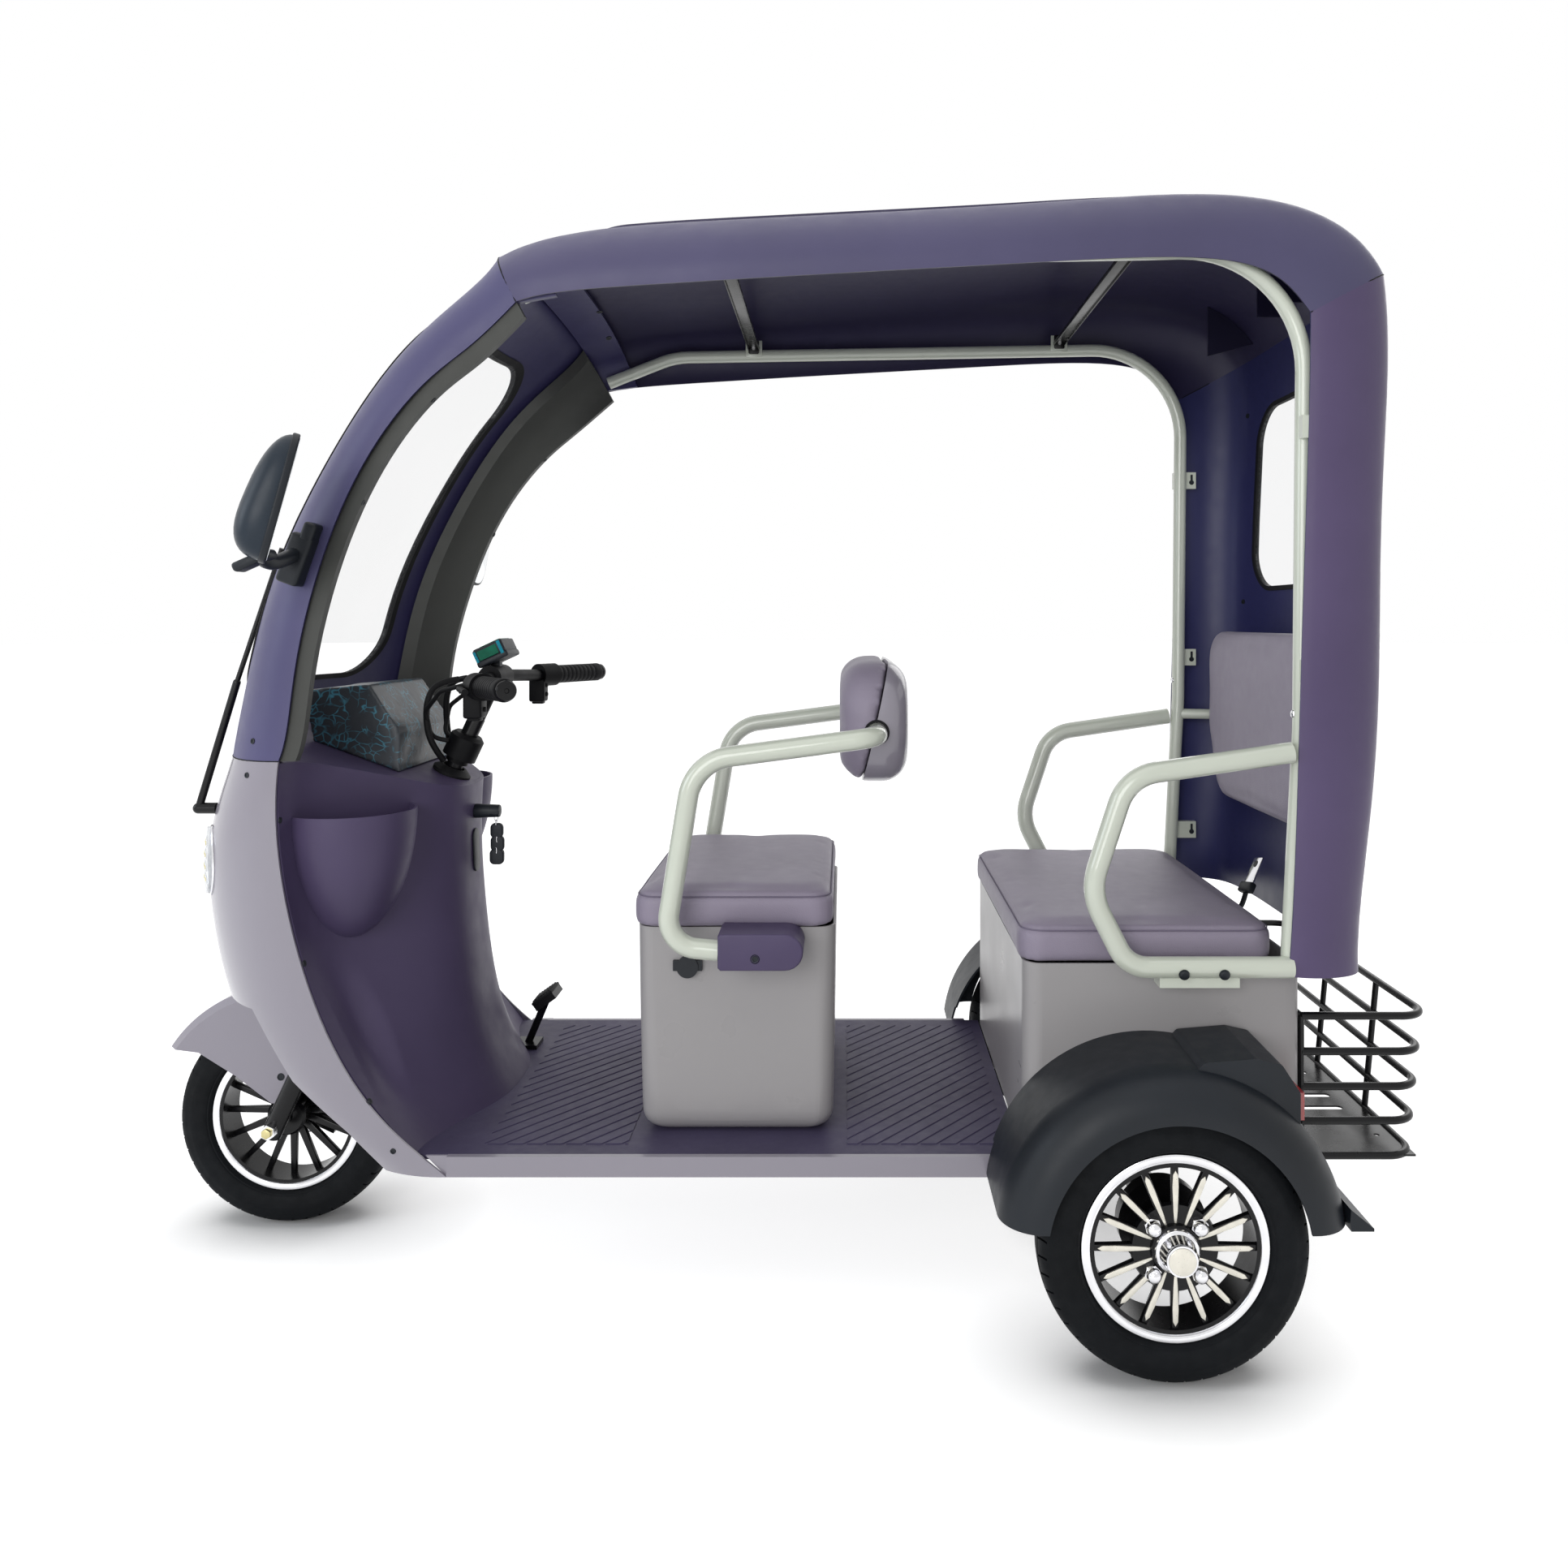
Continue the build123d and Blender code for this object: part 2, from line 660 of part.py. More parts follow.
def shells():
    cowl = front_cowl()
    save(cowl, "front_cowl")
    frame, seal, pane = windshield()
    save(frame, "windshield_surround")
    back, rear_seal, rear_pane = rear_panel()
    save(group(seal, rear_seal), "window_gaskets")
    save(group(pane, rear_pane), "window_panes")
    save(pillar_trim(), "pillar_trim")
    save(bowed_shell(ROOF), "roof_shell")
    save(roof_panel(), "roof_top_panel")
    save(back, "rear_panel")


# ---- leg shield, dash and what stands on them ----
LEG_T = 6.0
LEG_EDGE_GAP = 6.0
COLUMN_FOOT_X = 440.0
COLUMN_WAIST_X = 522.0
# share of the half-width, share of the way from the rim back to the column
LEG_PLAN = [(1.0, 0.0), (0.86, 0.04), (0.66, 0.28), (0.42, 0.70), (0.22, 0.95), (0.0, 1.0)]
# height, rim X, column X, body half-width
LEG_LEVELS = [
    (FLOOR_TOP, 520, COLUMN_FOOT_X, BODY_HALF),
    (300, 566, COLUMN_FOOT_X + 26, BODY_HALF),
    (431, 648, COLUMN_WAIST_X - 19, BODY_HALF + 4),
    (561, 691, COLUMN_WAIST_X - 4, BODY_HALF + 9),
    (672, 713, COLUMN_WAIST_X + 2, BODY_HALF + 13),
    (758, 720, COLUMN_WAIST_X, PILLAR_HALF - 2),
    (WAIST_Z, WAIST_X, COLUMN_WAIST_X - 6, PILLAR_HALF),
]
DASH_LOW_Z = 771.0
DASH_SLOPE = 0.37
DASH_FRONT_X = 880.0
DASH_T = 5.0


def leg_solid(forward):
    """Everything ahead of the rider's face of the leg shield, moved `forward`."""
    sections = []
    for z, rim_x, column_x, half in LEG_LEVELS:
        edge = half - LEG_EDGE_GAP
        right = []
        for across, back in LEG_PLAN:
            x = rim_x + (column_x - rim_x) * back + forward
            right.append(Vector(x, edge * across, z))
        left = [Vector(p.X, -p.Y, p.Z) for p in reversed(right[:-1])]
        points = right + left
        front_x = rim_x + 60
        corners = [points[-1], Vector(front_x, -edge, z), Vector(front_x, edge, z), points[0]]
        curve = Spline(*points)
        chords = [Line(corners[number], corners[number + 1]).edge() for number in range(3)]
        sections.append(make_face(Wire([curve.edge()] + chords)))
    return loft(sections)


def dash_z(x):
    """Height of the sloping dash top at x."""
    return DASH_LOW_Z + (x - COLUMN_WAIST_X + 5) * DASH_SLOPE


def dash_slab(low, high, x_from=450.0, x_to=DASH_FRONT_X):
    """A slab parallel to the dash top, between two heights above it."""
    points = [
        (x_from, dash_z(x_from) + low), (x_to, dash_z(x_to) + low),
        (x_to, dash_z(x_to) + high), (x_from, dash_z(x_from) + high),
    ]
    return xz_prism(points, -400, 400)


POCKET_AT = (662.0, 205.0, 758.0)
POCKET_SIZE = (104.0, 98.0, 206.0)
POCKET_T = 4.0


def pocket_bowl():
    """An open half-bowl for small things, bulging back from the leg shield."""
    x, y, z = POCKET_AT
    bowl = scale(Sphere(1), by=POCKET_SIZE)
    inside = scale(Sphere(1), by=tuple(size - POCKET_T for size in POCKET_SIZE))
    below = Pos(0, 0, -150) * Box(400, 400, 300)
    return Pos(x, y, z) * ((bowl - inside) & below)


BOOT_R = 34.0
BOOT_HOLE_R = 19.0


def leg_shield_and_dash():
    face = leg_solid(0)
    above = dash_slab(0, 300)
    shield = (face - leg_solid(LEG_T)) - above
    bowls = both(pocket_bowl())
    bowls = bowls - face
    save(shield, "leg_shield")
    save(group(*bowls.solids()), "storage_pockets")
    slab = dash_slab(-DASH_T, 0)
    grow = -SHELL_T - SKIN_GAP
    inside = leg_solid(LEG_T + SKIN_GAP)
    inside = inside & (Pos(WAIST_X - 282, 0, 800) * Box(600, 900, 600))
    nose_inside = bowed_solid(COWL, 2 * grow) + bowed_solid(SURROUND, grow - TRIM_T - 2 * SKIN_GAP)
    dash = slab & (inside + nose_inside)
    keep = largest(dash - shield - pillar_trim())
    stem_at = on_stem(640)
    bore = Pos(stem_at.X, 0, stem_at.Z) * Rot(0, -RAKE, 0) * Cylinder(BOOT_R - 6, 160)
    save(keep - bore, "dash_top")


def stem_boot():
    """Rubber boot where the stem comes up through the dash."""
    rise = dash_z(FRONT_AXLE_X) - TYRE_R
    foot_s = rise / (cos(radians(RAKE)) + DASH_SLOPE * sin(radians(RAKE)))
    base = (Align.CENTER, Align.CENTER, Align.MIN)
    low = Pos(0, 0, foot_s) * Cylinder(BOOT_R, 6, align=base)
    top = Pos(0, 0, foot_s + 6) * Cone(BOOT_R, BOOT_HOLE_R + 4, 8, align=base)
    boot = low + top
    boot -= column(BOOT_HOLE_R, foot_s - 20, foot_s + 40)
    boot = STEER * boot
    boot -= dash_slab(-100, SKIN_GAP / 2)
    save(boot, "stem_boot")


CONSOLE_SIDE = [(775.0, 945.0), (663.0, 955.0), (612.0, 878.0), (612.0, 790.0), (745.0, 800.0)]
CONSOLE_HALF = 125.0
CONSOLE_ROUND = 10.0


def dash_console():
    """Generic console standing on the dash, its film face towards the rider."""
    block = xz_prism(CONSOLE_SIDE, -CONSOLE_HALF, CONSOLE_HALF, CONSOLE_ROUND)
    save(block - dash_slab(-100, 0.2, 400, 900), "dash_console")


LOCK_Z = 722.0
LOCK_R = 13.0


def ignition_lock():
    """Ignition lock on the column with its key and fob hanging from it."""
    face_x = COLUMN_WAIST_X
    lock = rod((face_x - 10, 0, LOCK_Z), (face_x + 20, 0, LOCK_Z), LOCK_R)
    key = Pos(face_x - 20, 0, LOCK_Z) * Box(24, 4, 22)
    ring = Pos(face_x - 34, 0, LOCK_Z - 22) * Rot(90, 0, 0) * Torus(14, 1.6)
    fobs = Pos(face_x - 38, 0, LOCK_Z - 66) * fillet(Box(22, 11, 62).edges().filter_by(Axis.Y), 8)
    save((lock + key + ring + fobs) - leg_solid(0), "ignition_lock")


PEDAL_X = 472.0
PEDAL_Y = -160.0


def brake_pedal():
    """Foot brake on the right of the column."""
    base = Pos(PEDAL_X, PEDAL_Y, FLOOR_TOP + 4) * Box(46, 50, 8)
    arm = rod((PEDAL_X, PEDAL_Y, FLOOR_TOP + 4), (PEDAL_X - 34, PEDAL_Y, FLOOR_TOP + 84), 7)
    pad = Pos(PEDAL_X - 38, PEDAL_Y, FLOOR_TOP + 92) * Rot(0, 35, 0) * Box(44, 56, 14)
    save((base + arm + pad) - leg_solid(-SKIN_GAP), "brake_pedal")


LAMP_Y = 232.0
LAMP_Z = 682.0
LAMP_HALF_W = 34.0
LAMP_HALF_H = 53.0
LAMP_PROUD = 7.0


def headlamps():
    """Oval lamps on the shoulders of the nose."""
    oval = Plane.YZ * Pos(LAMP_Y, LAMP_Z) * Ellipse(LAMP_HALF_W, LAMP_HALF_H)
    beam = extrude(oval, amount=300, dir=(1, 0, 0))
    beam = Pos(720, 0, 0) * beam
    lens = (bowed_solid(COWL, LAMP_PROUD) & beam) - bowed_solid(COWL)
    save(both(lens), "headlamps")


MIRROR_AT = (654.0, 450.0, 1232.0)
MIRROR_SIZE = (50.0, 52.0, 95.0)
MIRROR_TURN = 27.0
MIRROR_PITCH = 14.0
MIRROR_GLASS_T = 3.0
MIRROR_RIM = 5.0


def mirror_place():
    """The left mirror's own frame: turned to the rider, its top leaning back."""
    return Pos(*MIRROR_AT) * Rot(0, 0, MIRROR_TURN) * Rot(0, -MIRROR_PITCH, 0)


def mirror_housing():
    """A deep rounded mirror head on a short arm from the pillar."""
    x, y, z = MIRROR_AT
    head = scale(Sphere(1), by=MIRROR_SIZE)
    head = mirror_place() * (head & (Pos(200, 0, 0) * Box(400, 400, 400)))
    foot_x = x + 27
    foot_z = z - 79
    side_y = SURROUND[3].half
    arm = rod((foot_x, side_y + 4, foot_z), (x + 38, y - 4, z - 80), 12)
    behind_glass = extrude(Plane.YZ * Ellipse(MIRROR_SIZE[1], MIRROR_SIZE[2]), amount=-20)
    arm -= mirror_place() * behind_glass
    plate = Pos(foot_x, side_y + 5, foot_z) * Rot(0, -20, 0) * Box(36, 16, 82)
    plate = plate - bowed_solid(SURROUND, SKIN_GAP)
    return largest(head + arm + plate)


def mirrors():
    oval = Ellipse(MIRROR_SIZE[1] - MIRROR_RIM, MIRROR_SIZE[2] - MIRROR_RIM)
    glass = extrude(Plane.YZ * oval, amount=-MIRROR_GLASS_T)
    save(both(mirror_housing()), "mirrors")
    save(both(mirror_place() * glass), "mirror_glass")


def on_shell(station, y, proud):
    """Point on a station's arch at y, standing `proud` of the shell."""
    share = 1 - abs(y / station.half) ** station.power
    return station.point(y, station.rise * share ** (1 / station.power) + proud)


WIPER_Y = 196.0


def wiper():
    """Wiper on the left of the nose, parked along the pillar."""
    pivot = on_shell(COWL[6], WIPER_Y, 0)
    post_top = on_shell(COWL[6], WIPER_Y, 30)
    elbow = on_shell(SURROUND[1], WIPER_Y - 6, 22)
    heel = on_shell(SURROUND[2], WIPER_Y - 10, 12)
    tip = on_shell(SURROUND[3], WIPER_Y, 12)
    arm = rod(pivot, post_top, 9) + Sphere(9).moved(Location(post_top))
    arm += rod(post_top, elbow, 6) + Sphere(6).moved(Location(elbow))
    arm += rod(elbow, heel, 4) + Sphere(4).moved(Location(heel))
    arm += rod(heel, tip, 4)
    arm -= bowed_solid(COWL, SKIN_GAP)
    save(group(*arm.solids()), "wiper")


def front_body():
    leg_shield_and_dash()
    stem_boot()
    dash_console()
    ignition_lock()
    brake_pedal()
    headlamps()
    mirrors()
    wiper()


# ---- floor, frame and running gear ----
FLOOR_T = 8.0
FLOOR_FRONT_X = 532.0
FLOOR_REAR_X = -408.0
FLOOR_HALF = 302.0
SILL_T = 8.0
SILL_REAR_X = -384.0
SILL_FRONT_X = 470.0
RAIL_Y = 150.0
RAIL_R = 16.0
RAIL_FRONT_X = 552.0
RAIL_REAR_X = -452.0
SUBRAIL_R = 12.0
SUBRAIL_FRONT_X = -436.0
SUBRAIL_REAR_X = -822.0
BRACE_X = -352.0
BRACE_Y = 200.0
BRACE_R = 14.0
AXLE_TUBE_R = 22.0
MOTOR_R = 62.0
MOTOR_W = 130.0


def floor_pan():
    low = FLOOR_TOP - FLOOR_T
    points = rect_points(FLOOR_REAR_X, FLOOR_FRONT_X, -FLOOR_HALF, FLOOR_HALF)
    save(xy_prism(points, low, FLOOR_TOP), "floor_pan")


def sill():
    """White edge strip beside the floor, round at its rear end."""
    strip = xz_prism([
        (SILL_REAR_X, FLOOR_TOP - 8), (SILL_REAR_X + 22, SILL_LOW),
        (SILL_FRONT_X, SILL_LOW), (SILL_FRONT_X, FLOOR_TOP), (SILL_REAR_X + 4, FLOOR_TOP),
    ], FLOOR_HALF, BODY_HALF)
    return strip


def sills():
    save(both(sill()), "floor_sills")


def head_tube():
    outer = column(STEM_R + HEAD_WALL, HEAD_LOW_S, HEAD_TOP_S)
    return STEER * outer


def chassis_frame():
    """Floor rails, cross tubes, head tube and rear rails, welded as one."""
    rail_z = FLOOR_TOP - FLOOR_T - RAIL_R
    rear_z = FLOOR_TOP - SUBRAIL_R
    frame = rod((RAIL_REAR_X, RAIL_Y, rail_z), (RAIL_FRONT_X, RAIL_Y, rail_z), RAIL_R)
    frame += rod((SUBRAIL_REAR_X, RAIL_Y, rear_z), (SUBRAIL_FRONT_X, RAIL_Y, rear_z), SUBRAIL_R)
    frame += mirrored(frame)
    for x in (RAIL_FRONT_X, 180.0, -120.0):
        frame += rod((x, -RAIL_Y, rail_z), (x, RAIL_Y, rail_z), RAIL_R)
    frame += rod((BRACE_X, -BRACE_Y - BRACE_R, rail_z), (BRACE_X, BRACE_Y + BRACE_R, rail_z), BRACE_R)
    frame += rod((SUBRAIL_REAR_X, -RAIL_Y, rear_z), (SUBRAIL_REAR_X, RAIL_Y, rear_z), SUBRAIL_R)
    head = on_stem((HEAD_LOW_S + HEAD_TOP_S) / 2)
    knee = (RAIL_FRONT_X + 6, 0, 350)
    foot = (RAIL_FRONT_X, 0, rail_z)
    frame += rod(head, knee, RAIL_R + 3) + Sphere(RAIL_R + 3).moved(Location(knee))
    frame += rod(knee, foot, RAIL_R + 3)
    frame += head_tube()
    frame -= STEER * column(STEM_R + HEAD_FIT, HEAD_LOW_S - 40, HEAD_TOP_S + 40)
    save(frame, "chassis_frame")


def rear_axle():
    """Axle housing with its motor, trailing braces and saddles on the rails."""
    z = TYRE_R
    inner_end = TRACK / 2 - DRUM_W / 2 - 38
    housing = rod((REAR_AXLE_X, -inner_end, z), (REAR_AXLE_X, inner_end, z), AXLE_TUBE_R)
    housing += y_cylinder(REAR_AXLE_X, 0, z - 6, MOTOR_R, MOTOR_W)
    rail_low = FLOOR_TOP - 2 * SUBRAIL_R
    for side in (1, -1):
        saddle = Pos(REAR_AXLE_X, side * RAIL_Y, (z + rail_low) / 2) * Box(50, 28, rail_low - z)
        saddle += Pos(REAR_AXLE_X, side * RAIL_Y, rail_low - 3) * Box(70, 40, 6)
        brace_z = FLOOR_TOP - FLOOR_T - RAIL_R
        brace = rod((BRACE_X, side * BRACE_Y, brace_z), (REAR_AXLE_X, side * BRACE_Y, z), BRACE_R)
        stub_from = side * inner_end
        stub_to = side * (TRACK / 2 - HUB_W / 2 - 5)
        drum_back = rod((REAR_AXLE_X, stub_from, z), (REAR_AXLE_X, stub_to, z), DRUM_R)
        pin = rod((REAR_AXLE_X, stub_to, z), (REAR_AXLE_X, side * (TRACK / 2 + HUB_W / 2), z), AXLE_R)
        housing += saddle + brace + drum_back + pin
    cross_z = FLOOR_TOP - FLOOR_T - RAIL_R
    housing -= rod((BRACE_X, -TRACK / 2, cross_z), (BRACE_X, TRACK / 2, cross_z), BRACE_R)
    subrail_z = FLOOR_TOP - SUBRAIL_R
    subrail = rod((SUBRAIL_REAR_X, RAIL_Y, subrail_z), (0, RAIL_Y, subrail_z), SUBRAIL_R)
    housing -= subrail + mirrored(subrail)
    save(largest(housing), "rear_axle")


# ---- seats ----
BOX_WALL = 4.0
FRONT_BOX_HALF = 240.0
FRONT_BOX_FRONT = 193.0
FRONT_BOX_BACK = -122.0
FRONT_BOX_DRAFT = 16.0
FRONT_BOX_TOP = 577.0
BOX_ROUND = 28.0
REAR_BOX_HALF = 305.0
REAR_BOX_FRONT = -410.0
REAR_BOX_BACK = -836.0
REAR_BOX_TOP = 538.0
CUSHION_GAP = 0.4
FRONT_CUSHION_T = 58.0
FRONT_CUSHION_HALF = 254.0
FRONT_CUSHION_FRONT = 202.0
REAR_CUSHION_T = 58.0
REAR_CUSHION_HALF = 308.0
REAR_CUSHION_FRONT = -400.0
REAR_CUSHION_BACK = -799.0
CUSHION_ROUND = 34.0
CUSHION_EDGE = 14.0
ARM_R = 16.0
FRONT_ARM_Y = 298.0
COVER_FRONT_X = 57.0
COVER_BACK_X = -73.0
COVER_LOW = 530.0
COVER_HIGH = 586.0
PAD_X = -187.0
PAD_Z = 895.0
PAD_T = 104.0
PAD_H = 200.0
PAD_HALF = 228.0
PAD_CORNER = 86.0
PAD_EDGE = 42.0
BATTERY_SIZE = (220.0, 360.0, 180.0)


def plan_block(x_from, x_to, half, low, high, corner, draft=0.0, inset=0.0):
    """A box with rounded upright corners, drawn in by `draft` at its foot."""
    length = x_to - x_from - 2 * inset
    middle = (x_from + x_to) / 2
    corner = max(corner - inset, 3)
    top = Pos(middle, 0, high) * RectangleRounded(length, 2 * (half - inset), corner)
    foot_size = (length - 2 * draft, 2 * (half - inset) - draft)
    foot = Pos(middle - draft / 2, 0, low) * RectangleRounded(*foot_size, corner)
    return loft([foot, top])


def seat_box(front, back, half, top, draft):
    """An open-topped box standing on the floor."""
    outer = plan_block(back, front, half, FLOOR_TOP, top, BOX_ROUND, draft)
    hollow = plan_block(back, front, half, FLOOR_TOP + BOX_WALL, top + 0.01, BOX_ROUND, draft, BOX_WALL)
    return outer - hollow


def front_box_block():
    """The outside of the front seat box, filled."""
    span = (FRONT_BOX_BACK, FRONT_BOX_FRONT, FRONT_BOX_HALF, FLOOR_TOP, FRONT_BOX_TOP)
    return plan_block(*span, BOX_ROUND, FRONT_BOX_DRAFT)


def front_seat():
    box = seat_box(FRONT_BOX_FRONT, FRONT_BOX_BACK, FRONT_BOX_HALF, FRONT_BOX_TOP, FRONT_BOX_DRAFT)
    save(box, "front_seat_box")
    low = FRONT_BOX_TOP + CUSHION_GAP
    lid = cushion(FRONT_BOX_BACK, FRONT_CUSHION_FRONT, FRONT_CUSHION_HALF, low, FRONT_CUSHION_T)
    save(lid, "front_seat_cushion")
    long, wide, high = BATTERY_SIZE
    middle = (FRONT_BOX_FRONT + FRONT_BOX_BACK) / 2
    pack_z = FLOOR_TOP + BOX_WALL + high / 2
    save(Pos(middle, 0, pack_z) * Box(long, wide, high), "battery_pack")


def cushion(back, front, half, low, thick):
    """A plain upholstered lid: upright rounded corners and a softened rim."""
    outline = RectangleRounded(front - back, 2 * half, CUSHION_ROUND)
    body = extrude(Pos((front + back) / 2, 0, low) * outline, amount=thick)
    return fillet(body.edges().group_by(Axis.Z)[-1], CUSHION_EDGE)


def front_arms():
    """Bent arm tubes that carry the rider's backrest."""
    y = FRONT_ARM_Y
    points = [
        (COVER_FRONT_X, y, 556), (COVER_FRONT_X + 84, y, 564), (COVER_FRONT_X + 38, y, 846),
        (PAD_X, y, PAD_Z - 12), (PAD_X, PAD_HALF + SKIN_GAP, PAD_Z - 12),
    ]
    return tube_along(points, ARM_R, [46, 74, 34])


def pivot_cover():
    """Moulded cover over the arm's root, on the side of the box."""
    inner = FRONT_BOX_HALF - 6
    outer = FRONT_ARM_Y + ARM_R + 5
    points = rect_points(COVER_BACK_X, COVER_FRONT_X, COVER_LOW, COVER_HIGH)
    block = xz_prism(points, inner, outer, 18)
    under_lid = Pos(0, 0, FRONT_BOX_TOP + 50) * Box(800, 2 * FRONT_CUSHION_HALF + 12, 99.2)
    return block - front_box_block() - under_lid - front_arms()


def seat_back():
    """The rider's padded backrest between the arm tubes."""
    body = Pos(PAD_X, 0, PAD_Z) * Box(PAD_T, 2 * PAD_HALF, PAD_H)
    body = fillet(body.edges().filter_by(Axis.X), PAD_CORNER)
    return fillet(body.edges().group_by(Axis.X)[-1] + body.edges().group_by(Axis.X)[0], PAD_EDGE)


PORT_X = 112.0
PORT_Z = 515.0


def charging_port():
    """Hinged cap over the charging socket, on the left of the front box."""
    cap = y_cylinder(PORT_X, FRONT_BOX_HALF, PORT_Z, 17, 16)
    ears = Pos(PORT_X, FRONT_BOX_HALF, PORT_Z + 2) * Box(46, 12, 16)
    save((cap + ears) - front_box_block(), "charging_port")


def rider_seat():
    front_seat()
    save(both(front_arms()), "front_arm_tubes")
    save(both(pivot_cover()), "arm_pivot_covers")
    save(seat_back(), "front_backrest")
    charging_port()


def rear_seat():
    box = seat_box(REAR_BOX_FRONT, REAR_BOX_BACK, REAR_BOX_HALF, REAR_BOX_TOP, 0)
    save(box, "rear_seat_box")
    low = REAR_BOX_TOP + CUSHION_GAP
    lid = cushion(REAR_CUSHION_BACK, REAR_CUSHION_FRONT, REAR_CUSHION_HALF, low, REAR_CUSHION_T)
    save(lid, "rear_seat_cushion")


# ---- canopy tubes, armrests and what they carry ----
CANOPY_Y = 326.0
CANOPY_R = 12.5
ROOF_RAIL_FRONT = (214.0, 1604.0)
RAIL_Z = 1622.0
PILLAR_X = -830.0
PILLAR_FOOT_X = -806.0
PILLAR_FOOT_Z = 552.0
PILLAR_BEND = 180.0
REST_Y = 338.0
CROSSBAR_X = (50.0, -576.0)
BACK_PAD_LOW = 720.0
BACK_PAD_HIGH = 1040.0
BACK_PAD_HALF = 270.0
BACK_PAD_T = 42.0
BACK_PAD_ROUND = 60.0
BACK_BAR_X = -922.0
BACK_BAR_Z = 870.0


def canopy_side():
    """One roof rail that bends down into its rear pillar."""
    y = CANOPY_Y
    points = [
        (ROOF_FRONT_X - 4, y, ROOF_EDGE_Z - 6), (ROOF_RAIL_FRONT[0], y, ROOF_RAIL_FRONT[1]),
        (PILLAR_X, y, RAIL_Z),
        (PILLAR_X + 6, y, 900), (PILLAR_FOOT_X, y, PILLAR_FOOT_Z),
    ]
    return tube_along(points, CANOPY_R, [160, PILLAR_BEND, 600])


def armrest():
    """The passenger's looped armrest in front of a pillar."""
    y = REST_Y
    points = [
        (PILLAR_X + 24, y, 864), (-560, y, 828), (-503, y, 655), (-560, y, 542), (PILLAR_FOOT_X, y, 542),
    ]
    return tube_along(points, ARM_R, [70, 90, 50])


def canopy_frame():
    """Roof rails, pillars, armrests and the bar across the back, welded."""
    side = canopy_side() + armrest()
    plate = Pos(-668, (REAR_BOX_HALF + REST_Y) / 2, 522) * Box(120, REST_Y - REAR_BOX_HALF, 22)
    side += plate
    half_bar = [(PILLAR_X + 6, CANOPY_Y, BACK_BAR_Z), (BACK_BAR_X, CANOPY_Y - 24, BACK_BAR_Z)]
    other_bar = [(x, -y, z) for x, y, z in reversed(half_bar)]
    bar = tube_along(half_bar + other_bar, CANOPY_R - 2, 30)
    frame = side + mirrored(side) + bar
    for z in (1351.0, 986.0, 630.0):
        tab = Pos(PILLAR_X - 10, CANOPY_Y + 13, z) * Box(44, 18, 34)
        frame += tab + mirrored(tab)
    save(largest(frame - bowed_wall()), "canopy_frame")


def bowed_wall():
    """The rear panel's wall with its running gap, to fit tubes and tabs to it."""
    return bowed_shell(REAR, SKIN_GAP, SHELL_T + 2 * SKIN_GAP, 0.0)


def roof_crossbars():
    """Dark bars across the roof, clipped on the rails."""
    pieces = []
    for x in CROSSBAR_X:
        front_x, front_z = ROOF_RAIL_FRONT
        rail_z = front_z + (front_x - x) * (RAIL_Z - front_z) / (front_x - PILLAR_X)
        top = rail_z + CANOPY_R
        bar = xy_prism(rect_points(x - 12, x + 12, -CANOPY_Y - 2, CANOPY_Y + 2), top - 2, top + 3)
        legs = []
        for side in (1, -1):
            clip = Pos(x, side * CANOPY_Y, rail_z) * Box(34, 2 * CANOPY_R + 3, 2 * CANOPY_R + 6)
            legs.append(clip)
        pieces.append(bar + legs[0] + legs[1])
    bars = group(*pieces) - both(canopy_side())
    return bars


def rear_backrest():
    """The passenger's back pad, low corners drawn in, ahead of the rear panel."""
    back = BACK_BAR_X + CANOPY_R - 2 + SKIN_GAP
    front = back + BACK_PAD_T
    low, high, half = BACK_PAD_LOW, BACK_PAD_HIGH, BACK_PAD_HALF
    outline = [
        (-half + 60, low), (half - 60, low), (half, low + 130),
        (half, high), (-half, high), (-half, low + 130),
    ]
    pad = yz_prism(outline, back, front, BACK_PAD_ROUND)
    return fillet(pad.faces().sort_by(Axis.X)[-1].edges(), 12)


# ---- rear mudguards, lamps and basket ----
GUARD_R = 246.0
GUARD_T = 4.0
GUARD_OUT_Y = 497.0
GUARD_ROUND = 60.0
GUARD_ARCH_R = 182.0
GUARD_FOOT_Z = 222.0
TAIL_X = (-775.0, -640.0)
TAIL_TOP_Z = 447.0
TAIL_IN_Y = 312.0
TAIL_OUT_Y = 452.0
TAIL_LENS_T = 10.0


def guard_body(radius, out_y, corner):
    """The solid swept by a mudguard's outline about the wheel axis."""
    section = make_face(Polyline(*rect_points(0, radius, REAR_BOX_HALF, out_y), close=True))
    edge = section.vertices().group_by(Axis.X)[-1].sort_by(Axis.Y)[-1]
    return revolve(fillet(edge, corner), Axis.Y, 360)


